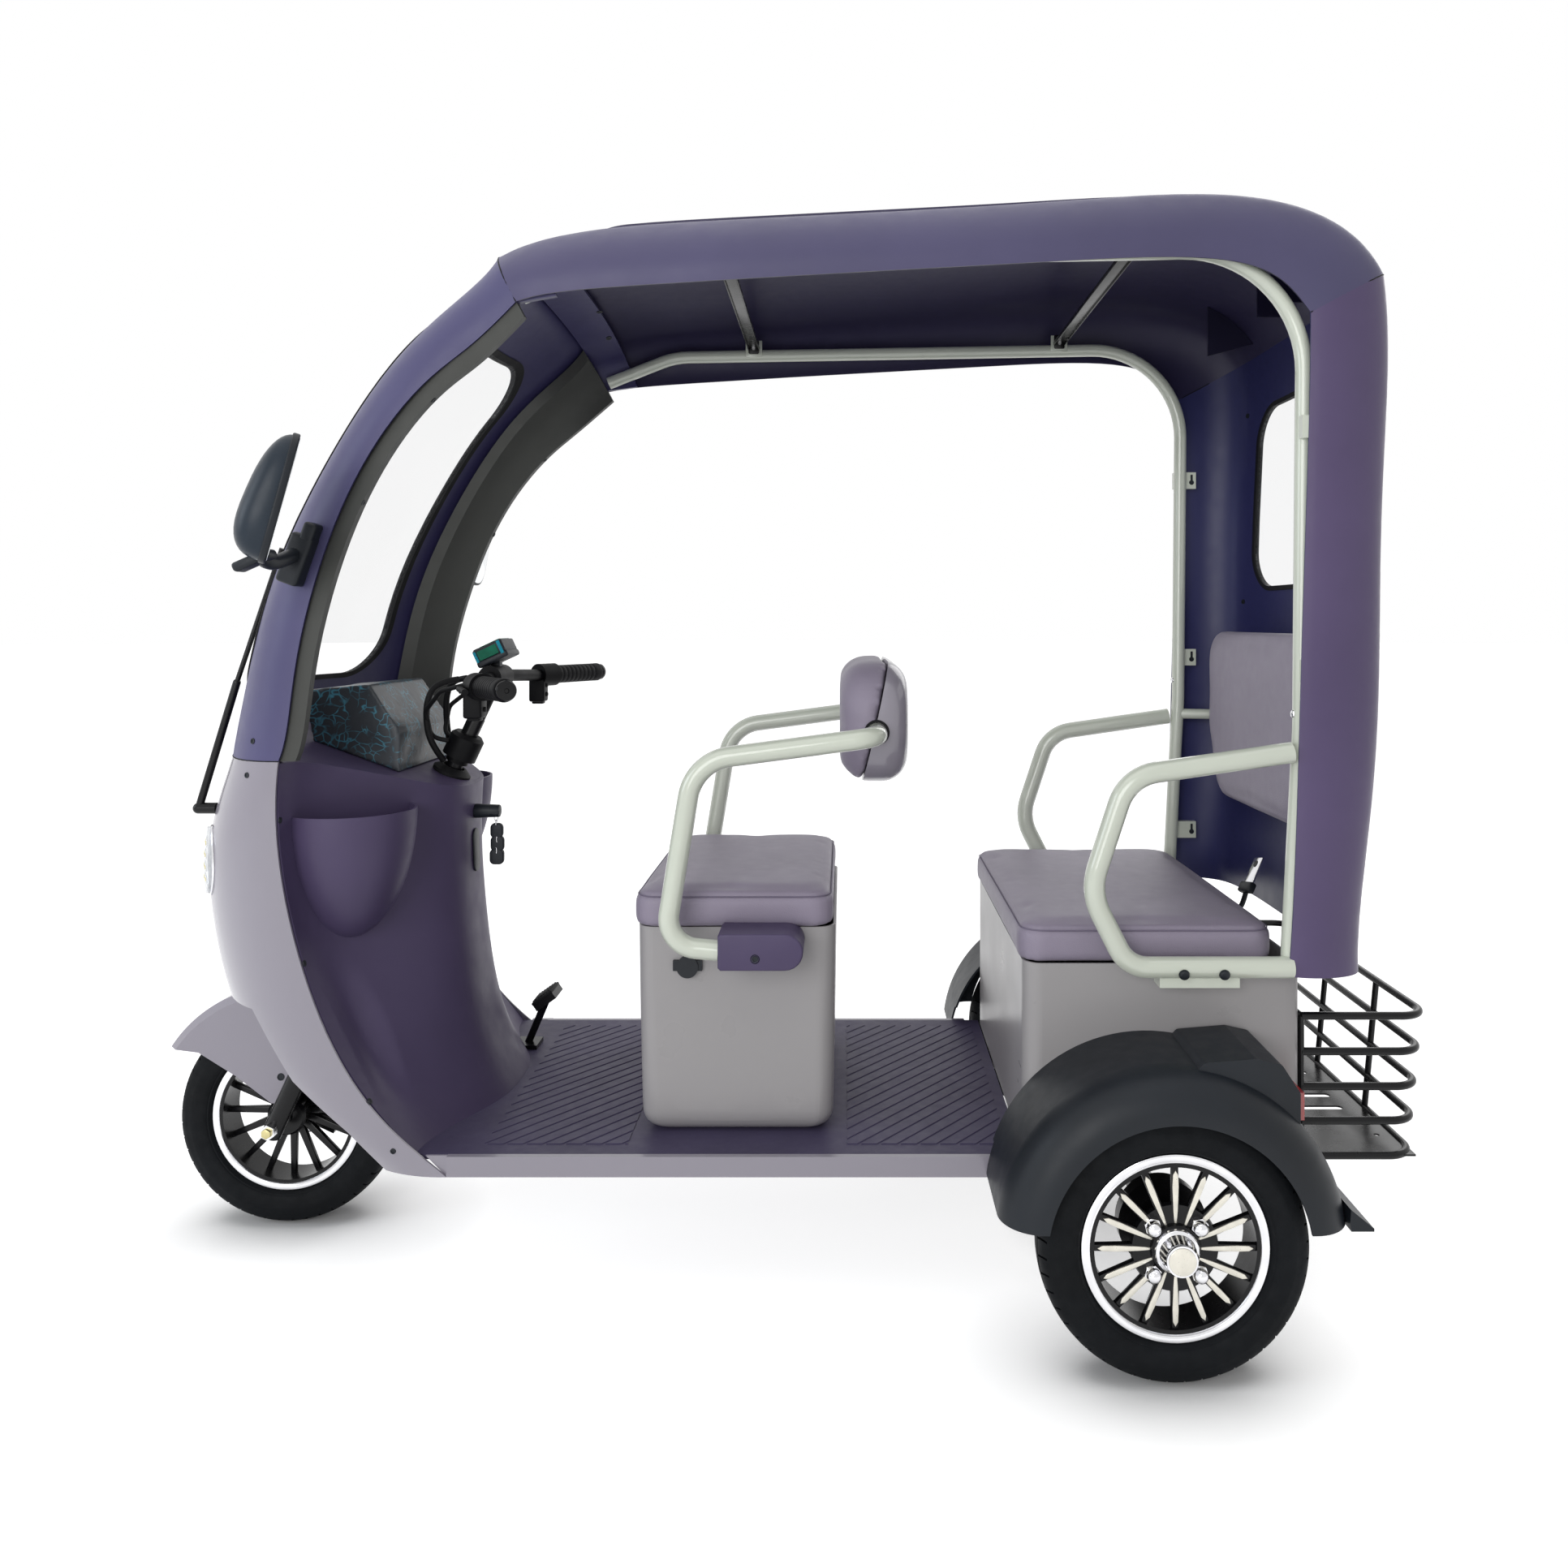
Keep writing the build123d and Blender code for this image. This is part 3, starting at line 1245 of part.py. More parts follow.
def rear_mudguard():
    """Arch over a rear wheel, closed on its outer face down to the arch edge."""
    spin = Pos(REAR_AXLE_X, 0, TYRE_R)
    shell = guard_body(GUARD_R, GUARD_OUT_Y, GUARD_ROUND)
    shell -= guard_body(GUARD_R - GUARD_T, GUARD_OUT_Y - GUARD_T, GUARD_ROUND - GUARD_T)
    shell -= Rot(90, 0, 0) * Cylinder(GUARD_ARCH_R, 2 * GUARD_OUT_Y + 20)
    above = xz_prism([
        (REAR_AXLE_X - 400, GUARD_FOOT_Z), (REAR_AXLE_X + 400, GUARD_FOOT_Z),
        (REAR_AXLE_X + 400, 600), (REAR_AXLE_X - 400, 600),
    ], REAR_BOX_HALF, GUARD_OUT_Y + 10)
    guard = (spin * shell) & above
    lip_x = REAR_AXLE_X - GUARD_R
    lip = xz_prism([
        (lip_x + 6, GUARD_FOOT_Z + 26), (lip_x - 26, GUARD_FOOT_Z), (lip_x - 26, GUARD_FOOT_Z - 4),
        (lip_x + 8, GUARD_FOOT_Z - 4), (lip_x + 8, GUARD_FOOT_Z),
    ], REAR_BOX_HALF + 20, GUARD_OUT_Y - 20)
    lip -= spin * guard_body(GUARD_R - GUARD_T, GUARD_OUT_Y, 2)
    return guard + lip


def tail_housing():
    """Raised lamp housing on the back of the mudguard."""
    x_back, x_front = TAIL_X
    outline = [
        (x_back, 350), (x_back, TAIL_TOP_Z - 48), (x_back + 26, TAIL_TOP_Z - 8),
        (x_back + 62, TAIL_TOP_Z), (x_front, TAIL_TOP_Z - 6), (x_front + 30, TAIL_TOP_Z - 40), (x_front, 350),
    ]
    block = xz_prism(outline, TAIL_IN_Y, TAIL_OUT_Y, 8)
    wheel_side = Pos(REAR_AXLE_X, 0, TYRE_R) * guard_body(GUARD_R - GUARD_T, GUARD_OUT_Y, GUARD_ROUND)
    return block - wheel_side


def tail_lens():
    x_back, x_front = TAIL_X
    outline = rect_points(x_back - TAIL_LENS_T, x_back, 356, TAIL_TOP_Z - 52)
    return xz_prism(outline, TAIL_IN_Y + 12, TAIL_OUT_Y - 12)


def rear_guards():
    guard = rear_mudguard() + tail_housing()
    guard -= Pos(0, 0, 400) * Box(3000, 2 * REAR_BOX_HALF, 800)
    sill_notch = Box(200, BODY_HALF - FLOOR_HALF + 4, 80)
    guard -= Pos(SILL_REAR_X, (FLOOR_HALF + BODY_HALF) / 2, FLOOR_TOP - 16) * sill_notch
    save(both(guard), "rear_mudguards")
    save(both(tail_lens() - guard), "tail_lamps")


BASKET_HALF = 280.0
BASKET_REAR_X = -1040.0
BASKET_ROD_R = 6.0
BASKET_UPRIGHT_R = 5.0
BASKET_CROSS_R = 5.5
BASKET_LEVELS = (234.0, 288.0, 341.0, 395.0, 450.0)
BASKET_LEAN = 5.0
TRAY_T = 3.0
TRAY_SLOTS = 3
TRAY_PITCH = 52.0
TRAY_SLOT_L = 100.0
TRAY_SLOT_W = 16.0
TRAY_BOLT_X = 120.0
TRAY_BOLT_Y = 420.0
TRAY_BOLT_R = 4.5
BASKET_UPRIGHT_Y = 100.0
BASKET_STAY_Y = 200.0
BASKET_BEND = 42.0


def basket_ring(level):
    """One hoop of the basket, from the seat box round the back."""
    z = BASKET_LEVELS[level]
    rear = BASKET_REAR_X + BASKET_LEAN * (len(BASKET_LEVELS) - 1 - level)
    front = REAR_BOX_BACK - BASKET_CROSS_R - SKIN_GAP
    left = [(front, BASKET_HALF, z), (rear, BASKET_HALF, z)]
    right = [(x, -y, height) for x, y, height in reversed(left)]
    return tube_along(left + right, BASKET_ROD_R, BASKET_BEND)


def rear_basket():
    """Welded rod basket behind the passenger's seat, with a sheet tray."""
    low, high = BASKET_LEVELS[0], BASKET_LEVELS[-1]
    basket = basket_ring(0)
    for level in range(1, len(BASKET_LEVELS)):
        basket += basket_ring(level)
    rear_low = BASKET_REAR_X + BASKET_LEAN * (len(BASKET_LEVELS) - 1)
    rear_upright = rod(
        (rear_low, BASKET_UPRIGHT_Y, low), (BASKET_REAR_X, BASKET_UPRIGHT_Y, high), BASKET_UPRIGHT_R)
    basket += rear_upright + mirrored(rear_upright)
    front = REAR_BOX_BACK - BASKET_CROSS_R - SKIN_GAP
    for z in BASKET_LEVELS[::2]:
        basket += rod((front, -BASKET_HALF, z), (front, BASKET_HALF, z), BASKET_CROSS_R)
    for y in (BASKET_HALF, BASKET_STAY_Y, BASKET_UPRIGHT_Y):
        upright = rod((front, y, low), (front, y, high), BASKET_UPRIGHT_R)
        basket += upright + mirrored(upright)
    tray_plan = rect_points(rear_low, front, -BASKET_HALF, BASKET_HALF)
    tray = xy_prism(tray_plan, low - TRAY_T / 2, low + TRAY_T / 2)
    middle = (rear_low + front) / 2
    slot = extrude(SlotOverall(TRAY_SLOT_L, TRAY_SLOT_W), amount=TRAY_T, both=True)
    for number in range(-TRAY_SLOTS, TRAY_SLOTS + 1):
        tray -= Pos(middle, number * TRAY_PITCH, low) * slot
    for x in (-TRAY_BOLT_X / 2, TRAY_BOLT_X / 2):
        for y in (-TRAY_BOLT_Y / 2, TRAY_BOLT_Y / 2):
            tray -= Pos(middle + x, y, low) * Cylinder(TRAY_BOLT_R, 2 * TRAY_T)
    basket += tray
    save(basket, "rear_basket")


# ---- roof inside ----
HEADER_T = 10.0
HEADER_BACK = 60.0


def roof_header():
    """Moulded inner band behind the windshield head."""
    back_x = ROOF_FRONT_X - HEADER_BACK
    second = Station(back_x, ROOF_EDGE_Z - 11, 70, PILLAR_HALF + 22, ROOF_FRONT_RISE + 1, 2.7)
    grow = -SHELL_T - SKIN_GAP
    band = bowed_shell([ROOF_JOINT, second], grow - 1.5, HEADER_T)
    return band - canopy_rails()


def canopy_rails():
    return both(canopy_side())


def canopy_parts():
    canopy_frame()
    save(roof_crossbars(), "roof_crossbars")
    save(rear_backrest(), "rear_backrest")
    save(roof_header(), "roof_header")


def main():
    wheels()
    steering()
    shells()
    front_body()
    floor_pan()
    sills()
    chassis_frame()
    rear_axle()
    rider_seat()
    rear_seat()
    canopy_parts()
    rear_guards()
    rear_basket()


main()
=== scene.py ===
import json
import math
import random
import bpy
import bmesh
from mathutils import Matrix, Vector, kdtree

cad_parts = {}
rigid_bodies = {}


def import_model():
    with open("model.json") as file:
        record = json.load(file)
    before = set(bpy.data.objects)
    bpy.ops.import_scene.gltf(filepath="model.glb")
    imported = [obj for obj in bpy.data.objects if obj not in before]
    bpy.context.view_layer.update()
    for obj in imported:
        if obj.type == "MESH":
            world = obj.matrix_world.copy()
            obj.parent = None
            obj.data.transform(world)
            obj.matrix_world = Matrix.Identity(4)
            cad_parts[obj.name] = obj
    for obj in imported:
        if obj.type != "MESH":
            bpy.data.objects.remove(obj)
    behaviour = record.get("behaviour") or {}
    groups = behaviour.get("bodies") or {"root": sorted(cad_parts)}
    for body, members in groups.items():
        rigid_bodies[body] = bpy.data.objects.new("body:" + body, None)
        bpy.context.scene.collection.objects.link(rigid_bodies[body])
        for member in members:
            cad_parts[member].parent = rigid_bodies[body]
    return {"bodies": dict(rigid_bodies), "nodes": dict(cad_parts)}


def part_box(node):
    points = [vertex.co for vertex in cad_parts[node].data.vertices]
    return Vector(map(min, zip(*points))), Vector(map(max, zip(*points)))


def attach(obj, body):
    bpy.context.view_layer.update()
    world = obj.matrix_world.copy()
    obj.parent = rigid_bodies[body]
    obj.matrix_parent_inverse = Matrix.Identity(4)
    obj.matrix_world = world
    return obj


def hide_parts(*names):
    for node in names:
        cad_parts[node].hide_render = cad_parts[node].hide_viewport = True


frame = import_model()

# Electric tricycle with a canopy: finishes, wheels, upholstery and fittings
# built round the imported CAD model. Metres, X forward, Y left, Z up.

NODES = frame["nodes"]
for stray in list(bpy.data.objects):
    if stray not in NODES.values() and stray not in frame["bodies"].values():
        bpy.data.objects.remove(stray)
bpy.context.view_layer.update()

CREASE = math.radians(38)   # sharper edges than this are shaded as edges
RIM = math.radians(30)      # a turned or flat part's rims are rounded where they are sharper
MERGE = 2e-6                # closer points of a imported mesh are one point
CUT = 1e-6                  # points this near a cutting plane are on it
BEVEL = {"offset_type": "OFFSET", "profile": 0.5, "affect": "EDGES", "material": -1}


# ---- places ----

def at(x, y, z):
    return Matrix.Translation((x, y, z))


def turn(degrees, axis):
    return Matrix.Rotation(math.radians(degrees), 4, axis)


def stretch(x, y, z):
    return Matrix.Diagonal((x, y, z, 1))


FLIP_X = stretch(-1, 1, 1)
FLIP_Y = stretch(1, -1, 1)


def middle(node):
    low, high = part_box(node)
    return (low + high) / 2


def towards(start, end):
    """Place at `start` whose +Z points at `end`."""
    run = Vector(end) - Vector(start)
    return at(*start) @ run.to_track_quat("Z", "Y").to_matrix().to_4x4()


# ---- meshes ----

def box(size, edge=0.0, segments=3):
    """A block with rounded edges."""
    part = bmesh.new()
    bmesh.ops.create_cube(part, size=1.0)
    bmesh.ops.scale(part, vec=size, verts=part.verts)
    if edge:
        bmesh.ops.bevel(part, geom=part.edges[:], offset=edge, segments=segments, **BEVEL)
    return part


def cone(low_r, high_r, height, steps=32, edge=0.0):
    """A round or many-sided stub standing on the origin along +Z."""
    part = bmesh.new()
    bmesh.ops.create_cone(
        part, cap_ends=True, cap_tris=False, segments=steps,
        radius1=low_r, radius2=high_r, depth=height,
    )
    bmesh.ops.translate(part, vec=(0, 0, height / 2), verts=part.verts)
    if edge:
        rims = [line for line in part.edges if len(line.link_faces) == 2 and line.calc_face_angle(0) > RIM]
        bmesh.ops.bevel(part, geom=rims, offset=edge, segments=2, **BEVEL)
    return part


def ball(radius, rings=12):
    part = bmesh.new()
    bmesh.ops.create_uvsphere(part, u_segments=2 * rings, v_segments=rings, radius=radius)
    return part


def turned(profile, steps=64, axis="Y", closed=True):
    """A (radius, offset) outline spun about an axis."""
    part = bmesh.new()
    if axis == "Y":
        verts = [part.verts.new((r, offset, 0)) for r, offset in profile]
    else:
        verts = [part.verts.new((r, 0, offset)) for r, offset in profile]
    pairs = list(zip(verts, verts[1:]))
    if closed:
        pairs.append((verts[-1], verts[0]))
    edges = [part.edges.new(pair) for pair in pairs]
    bmesh.ops.spin(
        part, geom=verts + edges, cent=(0, 0, 0), axis=(0, 1, 0) if axis == "Y" else (0, 0, 1),
        angle=2 * math.pi, steps=steps, use_merge=True,
    )
    bmesh.ops.remove_doubles(part, verts=part.verts[:], dist=1e-6)
    bmesh.ops.recalc_face_normals(part, faces=part.faces[:])
    return part


def outline_block(points, thickness, edge=0.0, segments=2):
    """A flat outline (X, Y) thickened along +Z, its rims rounded."""
    part = bmesh.new()
    face = part.faces.new([part.verts.new((x, y, 0)) for x, y in points])
    raised = bmesh.ops.extrude_face_region(part, geom=[face])
    top = [item for item in raised["geom"] if isinstance(item, bmesh.types.BMVert)]
    bmesh.ops.translate(part, vec=(0, 0, thickness), verts=top)
    bmesh.ops.recalc_face_normals(part, faces=part.faces[:])
    if edge:
        rims = [line for line in part.edges if abs(line.verts[0].co.z - line.verts[1].co.z) < 1e-6]
        bmesh.ops.bevel(part, geom=rims, offset=edge, segments=segments, **BEVEL)
    return part


def rounded_outline(long, wide, corner, steps=6):
    """Corner points of a rounded rectangle about the origin."""
    points = []
    for quarter, (sx, sy) in enumerate(((1, 1), (-1, 1), (-1, -1), (1, -1))):
        cx, cy = sx * (long / 2 - corner), sy * (wide / 2 - corner)
        for number in range(steps + 1):
            angle = math.radians(90 * quarter + 90 * number / steps)
            points.append((cx + corner * math.cos(angle), cy + corner * math.sin(angle)))
    return points


def tube(points, radius, order=3, sides=4, closed=False, resolution=8):
    """A round rod along a smooth line through the given control points."""
    curve = bpy.data.curves.new("line", "CURVE")
    curve.dimensions = "3D"
    curve.bevel_depth = radius
    curve.bevel_resolution = sides
    curve.resolution_u = resolution
    curve.use_fill_caps = True
    spline = curve.splines.new("NURBS")
    spline.points.add(len(points) - 1)
    for point, place in zip(spline.points, points):
        point.co = (*place, 1)
    spline.order_u = order
    spline.use_endpoint_u = not closed
    spline.use_cyclic_u = closed
    holder = bpy.data.objects.new("line", curve)
    mesh = bpy.data.meshes.new_from_object(holder)
    part = bmesh.new()
    part.from_mesh(mesh)
    bpy.data.meshes.remove(mesh)
    bpy.data.objects.remove(holder)
    bpy.data.curves.remove(curve)
    bmesh.ops.remove_doubles(part, verts=part.verts[:], dist=1e-6)
    bmesh.ops.recalc_face_normals(part, faces=part.faces[:])
    return part


def cad_copy(node):
    """A merged copy of a CAD node's mesh."""
    part = bmesh.new()
    part.from_mesh(NODES[node].data)
    bmesh.ops.remove_doubles(part, verts=part.verts[:], dist=MERGE)
    return part


def sliced(part, point, normal, keep_outer=True):
    """Cuts a part across a plane, and drops what lies beyond it where asked."""
    bmesh.ops.bisect_plane(
        part, geom=part.verts[:] + part.edges[:] + part.faces[:], dist=CUT,
        plane_co=point, plane_no=normal, clear_outer=not keep_outer)


class Piece:
    """One named piece gathered from parts, each with its own finish."""

    def __init__(self, name):
        self.name = name
        self.bm = bmesh.new()
        self.finishes = []

    def add(self, part, finish, *places):
        """Takes a part in, once for each place."""
        if finish not in self.finishes:
            self.finishes.append(finish)
        number = self.finishes.index(finish)
        for face in part.faces:
            face.smooth = True
            face.material_index = number
        mesh = bpy.data.meshes.new("part")
        part.to_mesh(mesh)
        part.free()
        for place in places or (Matrix(),):
            copied = mesh.copy()
            copied.transform(place)
            if place.is_negative:
                copied.flip_normals()
            self.bm.from_mesh(copied)
            bpy.data.meshes.remove(copied)
        bpy.data.meshes.remove(mesh)
        return self

    def make(self, body, slot, *stands_for, crease=CREASE):
        for edge in self.bm.edges:
            if len(edge.link_faces) == 2 and edge.calc_face_angle(0) > crease:
                edge.smooth = False
        mesh = bpy.data.meshes.new(self.name)
        self.bm.to_mesh(mesh)
        self.bm.free()
        piece = bpy.data.objects.new(self.name, mesh)
        bpy.context.scene.collection.objects.link(piece)
        for finish in self.finishes:
            mesh.materials.append(finish)
        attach(piece, body)
        if stands_for:
            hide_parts(*stands_for)
        return piece


# ---- finishes ----

def noise(tree, scale, detail=3.0, vector=None):
    node = tree.nodes.new("ShaderNodeTexNoise")
    node.inputs["Scale"].default_value = scale
    node.inputs["Detail"].default_value = detail
    tree.links.new(vector or tree.nodes["Place"].outputs["Object"], node.inputs["Vector"])
    return node.outputs["Fac"]


def spread(tree, source, low, high, from_low=0.3, from_high=0.7):
    node = tree.nodes.new("ShaderNodeMapRange")
    node.inputs["From Min"].default_value = from_low
    node.inputs["From Max"].default_value = from_high
    node.inputs["To Min"].default_value = low
    node.inputs["To Max"].default_value = high
    tree.links.new(source, node.inputs["Value"])
    return node.outputs["Result"]


def blended(tree, share, first, second):
    node = tree.nodes.new("ShaderNodeMix")
    node.data_type = "RGBA"
    tree.links.new(share, node.inputs["Factor"])
    for socket, colour in ((6, first), (7, second)):
        if isinstance(colour, tuple):
            node.inputs[socket].default_value = (*colour, 1)
        else:
            tree.links.new(colour, node.inputs[socket])
    return node.outputs[2]


def shaded(colour, share):
    return tuple(min(1.0, part * share) for part in colour)


def finish(name, colour, rough, mottle=5.0, shade=0.08, grain=900.0, depth=0.0001, wear=0.1, **fixed):
    """A surface with mottled colour, uneven gloss and a fine grain."""
    material = bpy.data.materials.new(name)
    material.use_nodes = True
    tree = material.node_tree
    place = tree.nodes.new("ShaderNodeTexCoord")
    place.name = "Place"
    shader = tree.nodes["Principled BSDF"]
    patch = spread(tree, noise(tree, mottle, 4), 0, 1)
    tint = blended(tree, patch, shaded(colour, 1 - shade), shaded(colour, 1 + shade))
    tree.links.new(tint, shader.inputs["Base Color"])
    rub = spread(tree, noise(tree, mottle * 7, 5), rough * (1 - wear), min(1.0, rough * (1 + wear)))
    tree.links.new(rub, shader.inputs["Roughness"])
    bump = tree.nodes.new("ShaderNodeBump")
    bump.name = "Grain"
    bump.inputs["Distance"].default_value = depth
    bump.inputs["Strength"].default_value = 0.6
    tree.links.new(noise(tree, grain, 2), bump.inputs["Height"])
    tree.links.new(bump.outputs["Normal"], shader.inputs["Normal"])
    for socket, value in fixed.items():
        shader.inputs[socket.replace("_", " ")].default_value = value
    return material


def leather(name, colour, cell=420.0):
    """Upholstery with a pebbled grain and a soft sheen."""
    material = finish(name, colour, 0.48, mottle=7, shade=0.05, grain=1500, depth=0.00008)
    tree = material.node_tree
    shader = tree.nodes["Principled BSDF"]
    pebbles = tree.nodes.new("ShaderNodeTexVoronoi")
    pebbles.feature = "DISTANCE_TO_EDGE"
    pebbles.inputs["Scale"].default_value = cell
    tree.links.new(tree.nodes["Place"].outputs["Object"], pebbles.inputs["Vector"])
    hide = tree.nodes.new("ShaderNodeBump")
    hide.inputs["Distance"].default_value = 0.0003
    hide.inputs["Strength"].default_value = 0.45
    tree.links.new(spread(tree, pebbles.outputs["Distance"], 0, 1, 0.0, 0.25), hide.inputs["Height"])
    tree.links.new(tree.nodes["Grain"].outputs["Normal"], hide.inputs["Normal"])
    tree.links.new(hide.outputs["Normal"], shader.inputs["Normal"])
    shader.inputs["Sheen Weight"].default_value = 0.12
    return material


def crinkled_film(name):
    """Thin film pulled over a grey block, with fine torn blue creases."""
    material = finish(name, (0.060, 0.068, 0.078), 0.34, mottle=16, shade=0.10, Specular_IOR_Level=0.3)
    tree = material.node_tree
    shader = tree.nodes["Principled BSDF"]
    grey = shader.inputs["Base Color"].links[0].from_socket
    swirl = tree.nodes.new("ShaderNodeTexNoise")
    swirl.inputs["Scale"].default_value = 22
    tree.links.new(tree.nodes["Place"].outputs["Object"], swirl.inputs["Vector"])
    soften = tree.nodes.new("ShaderNodeVectorMath")
    soften.operation = "SCALE"
    soften.inputs["Scale"].default_value = 0.05
    tree.links.new(swirl.outputs["Color"], soften.inputs[0])
    warp = tree.nodes.new("ShaderNodeVectorMath")
    warp.operation = "ADD"
    tree.links.new(tree.nodes["Place"].outputs["Object"], warp.inputs[0])
    tree.links.new(soften.outputs["Vector"], warp.inputs[1])
    ridge = tree.nodes.new("ShaderNodeTexVoronoi")
    ridge.feature = "DISTANCE_TO_EDGE"
    ridge.inputs["Scale"].default_value = 58
    tree.links.new(warp.outputs["Vector"], ridge.inputs["Vector"])
    crease = spread(tree, ridge.outputs["Distance"], 1, 0, 0.0, 0.07)
    torn = spread(tree, noise(tree, 30, 3), 0, 1, 0.40, 0.56)
    share = tree.nodes.new("ShaderNodeMath")
    share.operation = "MULTIPLY"
    tree.links.new(crease, share.inputs[0])
    tree.links.new(torn, share.inputs[1])
    tree.links.new(blended(tree, share.outputs[0], grey, (0.10, 0.34, 0.46)), shader.inputs["Base Color"])
    fold = tree.nodes.new("ShaderNodeBump")
    fold.inputs["Distance"].default_value = 0.002
    fold.inputs["Strength"].default_value = 0.4
    tree.links.new(noise(tree, 42, 6), fold.inputs["Height"])
    tree.links.new(fold.outputs["Normal"], shader.inputs["Normal"])
    return material


def skin_with_painted_shade(name, outside, painted_shade_colour, rough, heart, **fixed):
    """A moulded skin, deeper in colour on the faces that look towards `heart`: painted shade on the shell's
    inner faces.
    """
    material = finish(name, outside, rough, **fixed)
    tree = material.node_tree
    place = tree.nodes["Place"]
    spoke = tree.nodes.new("ShaderNodeVectorMath")
    spoke.operation = "SUBTRACT"
    spoke.inputs[1].default_value = heart
    tree.links.new(place.outputs["Object"], spoke.inputs[0])
    outward = tree.nodes.new("ShaderNodeVectorMath")
    outward.operation = "DOT_PRODUCT"
    tree.links.new(spoke.outputs["Vector"], outward.inputs[0])
    tree.links.new(place.outputs["Normal"], outward.inputs[1])
    # faces turned towards `heart` take the darker colour: painted shade
    painted_shade_share = spread(tree, outward.outputs["Value"], 1, 0, -0.04, 0.04)
    colour = tree.nodes["Principled BSDF"].inputs["Base Color"]
    tree.links.new(blended(tree, painted_shade_share, colour.links[0].from_socket, painted_shade_colour), colour)
    return material


SATIN = {"grain": 700, "depth": 0.00012, "Specular_IOR_Level": 0.3}
# The second colour of each violet skin is painted shade on the faces turned towards this point, the shell's
# inner faces.
SHELL_HEART = (-0.3, 0, 1.1)
VIOLET = skin_with_painted_shade(
    "satin_violet", (0.094, 0.086, 0.172), (0.026, 0.022, 0.062), 0.42, SHELL_HEART, **SATIN)
VIOLET_BLUE = skin_with_painted_shade(
    "blue_violet", (0.092, 0.086, 0.190), (0.040, 0.036, 0.110), 0.42, SHELL_HEART, **SATIN)
VIOLET_WARM = skin_with_painted_shade(
    "warm_violet", (0.108, 0.080, 0.172), (0.032, 0.034, 0.120), 0.36, SHELL_HEART, **SATIN)
VIOLET_LEG = finish("leg_violet", (0.080, 0.061, 0.128), 0.46, **SATIN)
# violet darkened as painted shade, for parts within the roof
VIOLET_PAINTED_SHADE = finish("violet_painted_shade", (0.014, 0.012, 0.036), 0.48, **SATIN)
VIOLET_DARK = finish("deep_violet", (0.066, 0.058, 0.112), 0.50, **SATIN)
VIOLET_FLOOR = finish(
    "floor_violet", (0.072, 0.061, 0.118), 0.50, mottle=9, shade=0.12, grain=600, depth=0.0002,
    Specular_IOR_Level=0.3)
PALE = finish(
    "pale_lacquer", (0.328, 0.306, 0.360), 0.24, mottle=2, shade=0.02, depth=0.00001, Coat_Weight=0.4)
LILAC = finish(
    "lilac_lacquer", (0.405, 0.390, 0.395), 0.30, mottle=2, shade=0.02, depth=0.00001,
    Specular_IOR_Level=0.3)
GREY = finish("grey_grain", (0.072, 0.074, 0.069), 0.50, grain=800, depth=0.00015, Specular_IOR_Level=0.2)
BLACK_PLASTIC = finish(
    "black_grain", (0.010, 0.013, 0.018), 0.44, shade=0.3, grain=700, depth=0.00012,
    Specular_IOR_Level=0.3)
# near-black case plastic whose blue tint is a painted reflection
MIRROR_BACK = finish(
    "mirror_case", (0.012, 0.022, 0.036), 0.36, shade=0.3, grain=700, depth=0.00008,
    Specular_IOR_Level=0.3)
BLACK_PAINT = finish(
    "black_lacquer", (0.006, 0.006, 0.007), 0.26, shade=0.3, grain=120, depth=0.00003,
    Specular_IOR_Level=0.25)
RUBBER = finish(
    "soft_rubber", (0.007, 0.007, 0.008), 0.62, shade=0.3, grain=800, depth=0.0002, Specular_IOR_Level=0.2)
TYRE = finish(
    "tyre_rubber", (0.0045, 0.0055, 0.007), 0.66, mottle=9, shade=0.35, grain=420, depth=0.0003,
    Specular_IOR_Level=0.14)
CREAM = finish(
    "cream_lacquer", (0.72, 0.765, 0.655), 0.18, mottle=3, shade=0.03, depth=0.00001, Coat_Weight=0.6)
BAR_BLACK = finish(
    "bar_black", (0.004, 0.004, 0.005), 0.5, grain=700, depth=0.00008, Specular_IOR_Level=0.12)
STEEL = finish(
    "plated_steel", (0.78, 0.78, 0.80), 0.16, mottle=30, shade=0.06, grain=300, depth=0.00004, Metallic=1.0)
MACHINED = finish(
    "machined_face", (0.80, 0.77, 0.68), 0.30, mottle=60, shade=0.08, grain=900, depth=0.00006,
    Metallic=0.55)
BRASS = finish(
    "yellow_zinc", (0.62, 0.55, 0.28), 0.30, mottle=40, shade=0.15, grain=300, depth=0.00005, Metallic=1.0)
LEATHER = leather("lilac_hide", (0.300, 0.262, 0.345))
THREAD = finish("seam_thread", (0.17, 0.145, 0.21), 0.7, grain=1500, depth=0.0001)
FILM = crinkled_film("blue_film")
MIRROR = finish("mirror_silver", (0.86, 0.88, 0.90), 0.03, shade=0.01, depth=0.00001, Metallic=1.0)
RED = finish(
    "red_acrylic", (0.42, 0.02, 0.02), 0.12, mottle=40, shade=0.1, grain=250, depth=0.0003, Coat_Weight=1.0)
PANE = finish("pane_acrylic", (0.93, 0.95, 0.96), 0.03, shade=0.02, depth=0.00001, Alpha=0.06)
LENS = finish("lens_acrylic", (0.84, 0.87, 0.90), 0.05, shade=0.05, grain=60, depth=0.00008, Alpha=0.42)
SCREEN = finish(
    "teal_screen", (0.003, 0.150, 0.085), 0.3, mottle=60, shade=0.2, Specular_IOR_Level=0.08)
SCREEN_EDGE = finish(
    "blue_edge", (0.008, 0.300, 0.420), 0.3, mottle=60, shade=0.3, Specular_IOR_Level=0.08)


# ---- stage, camera and light ----

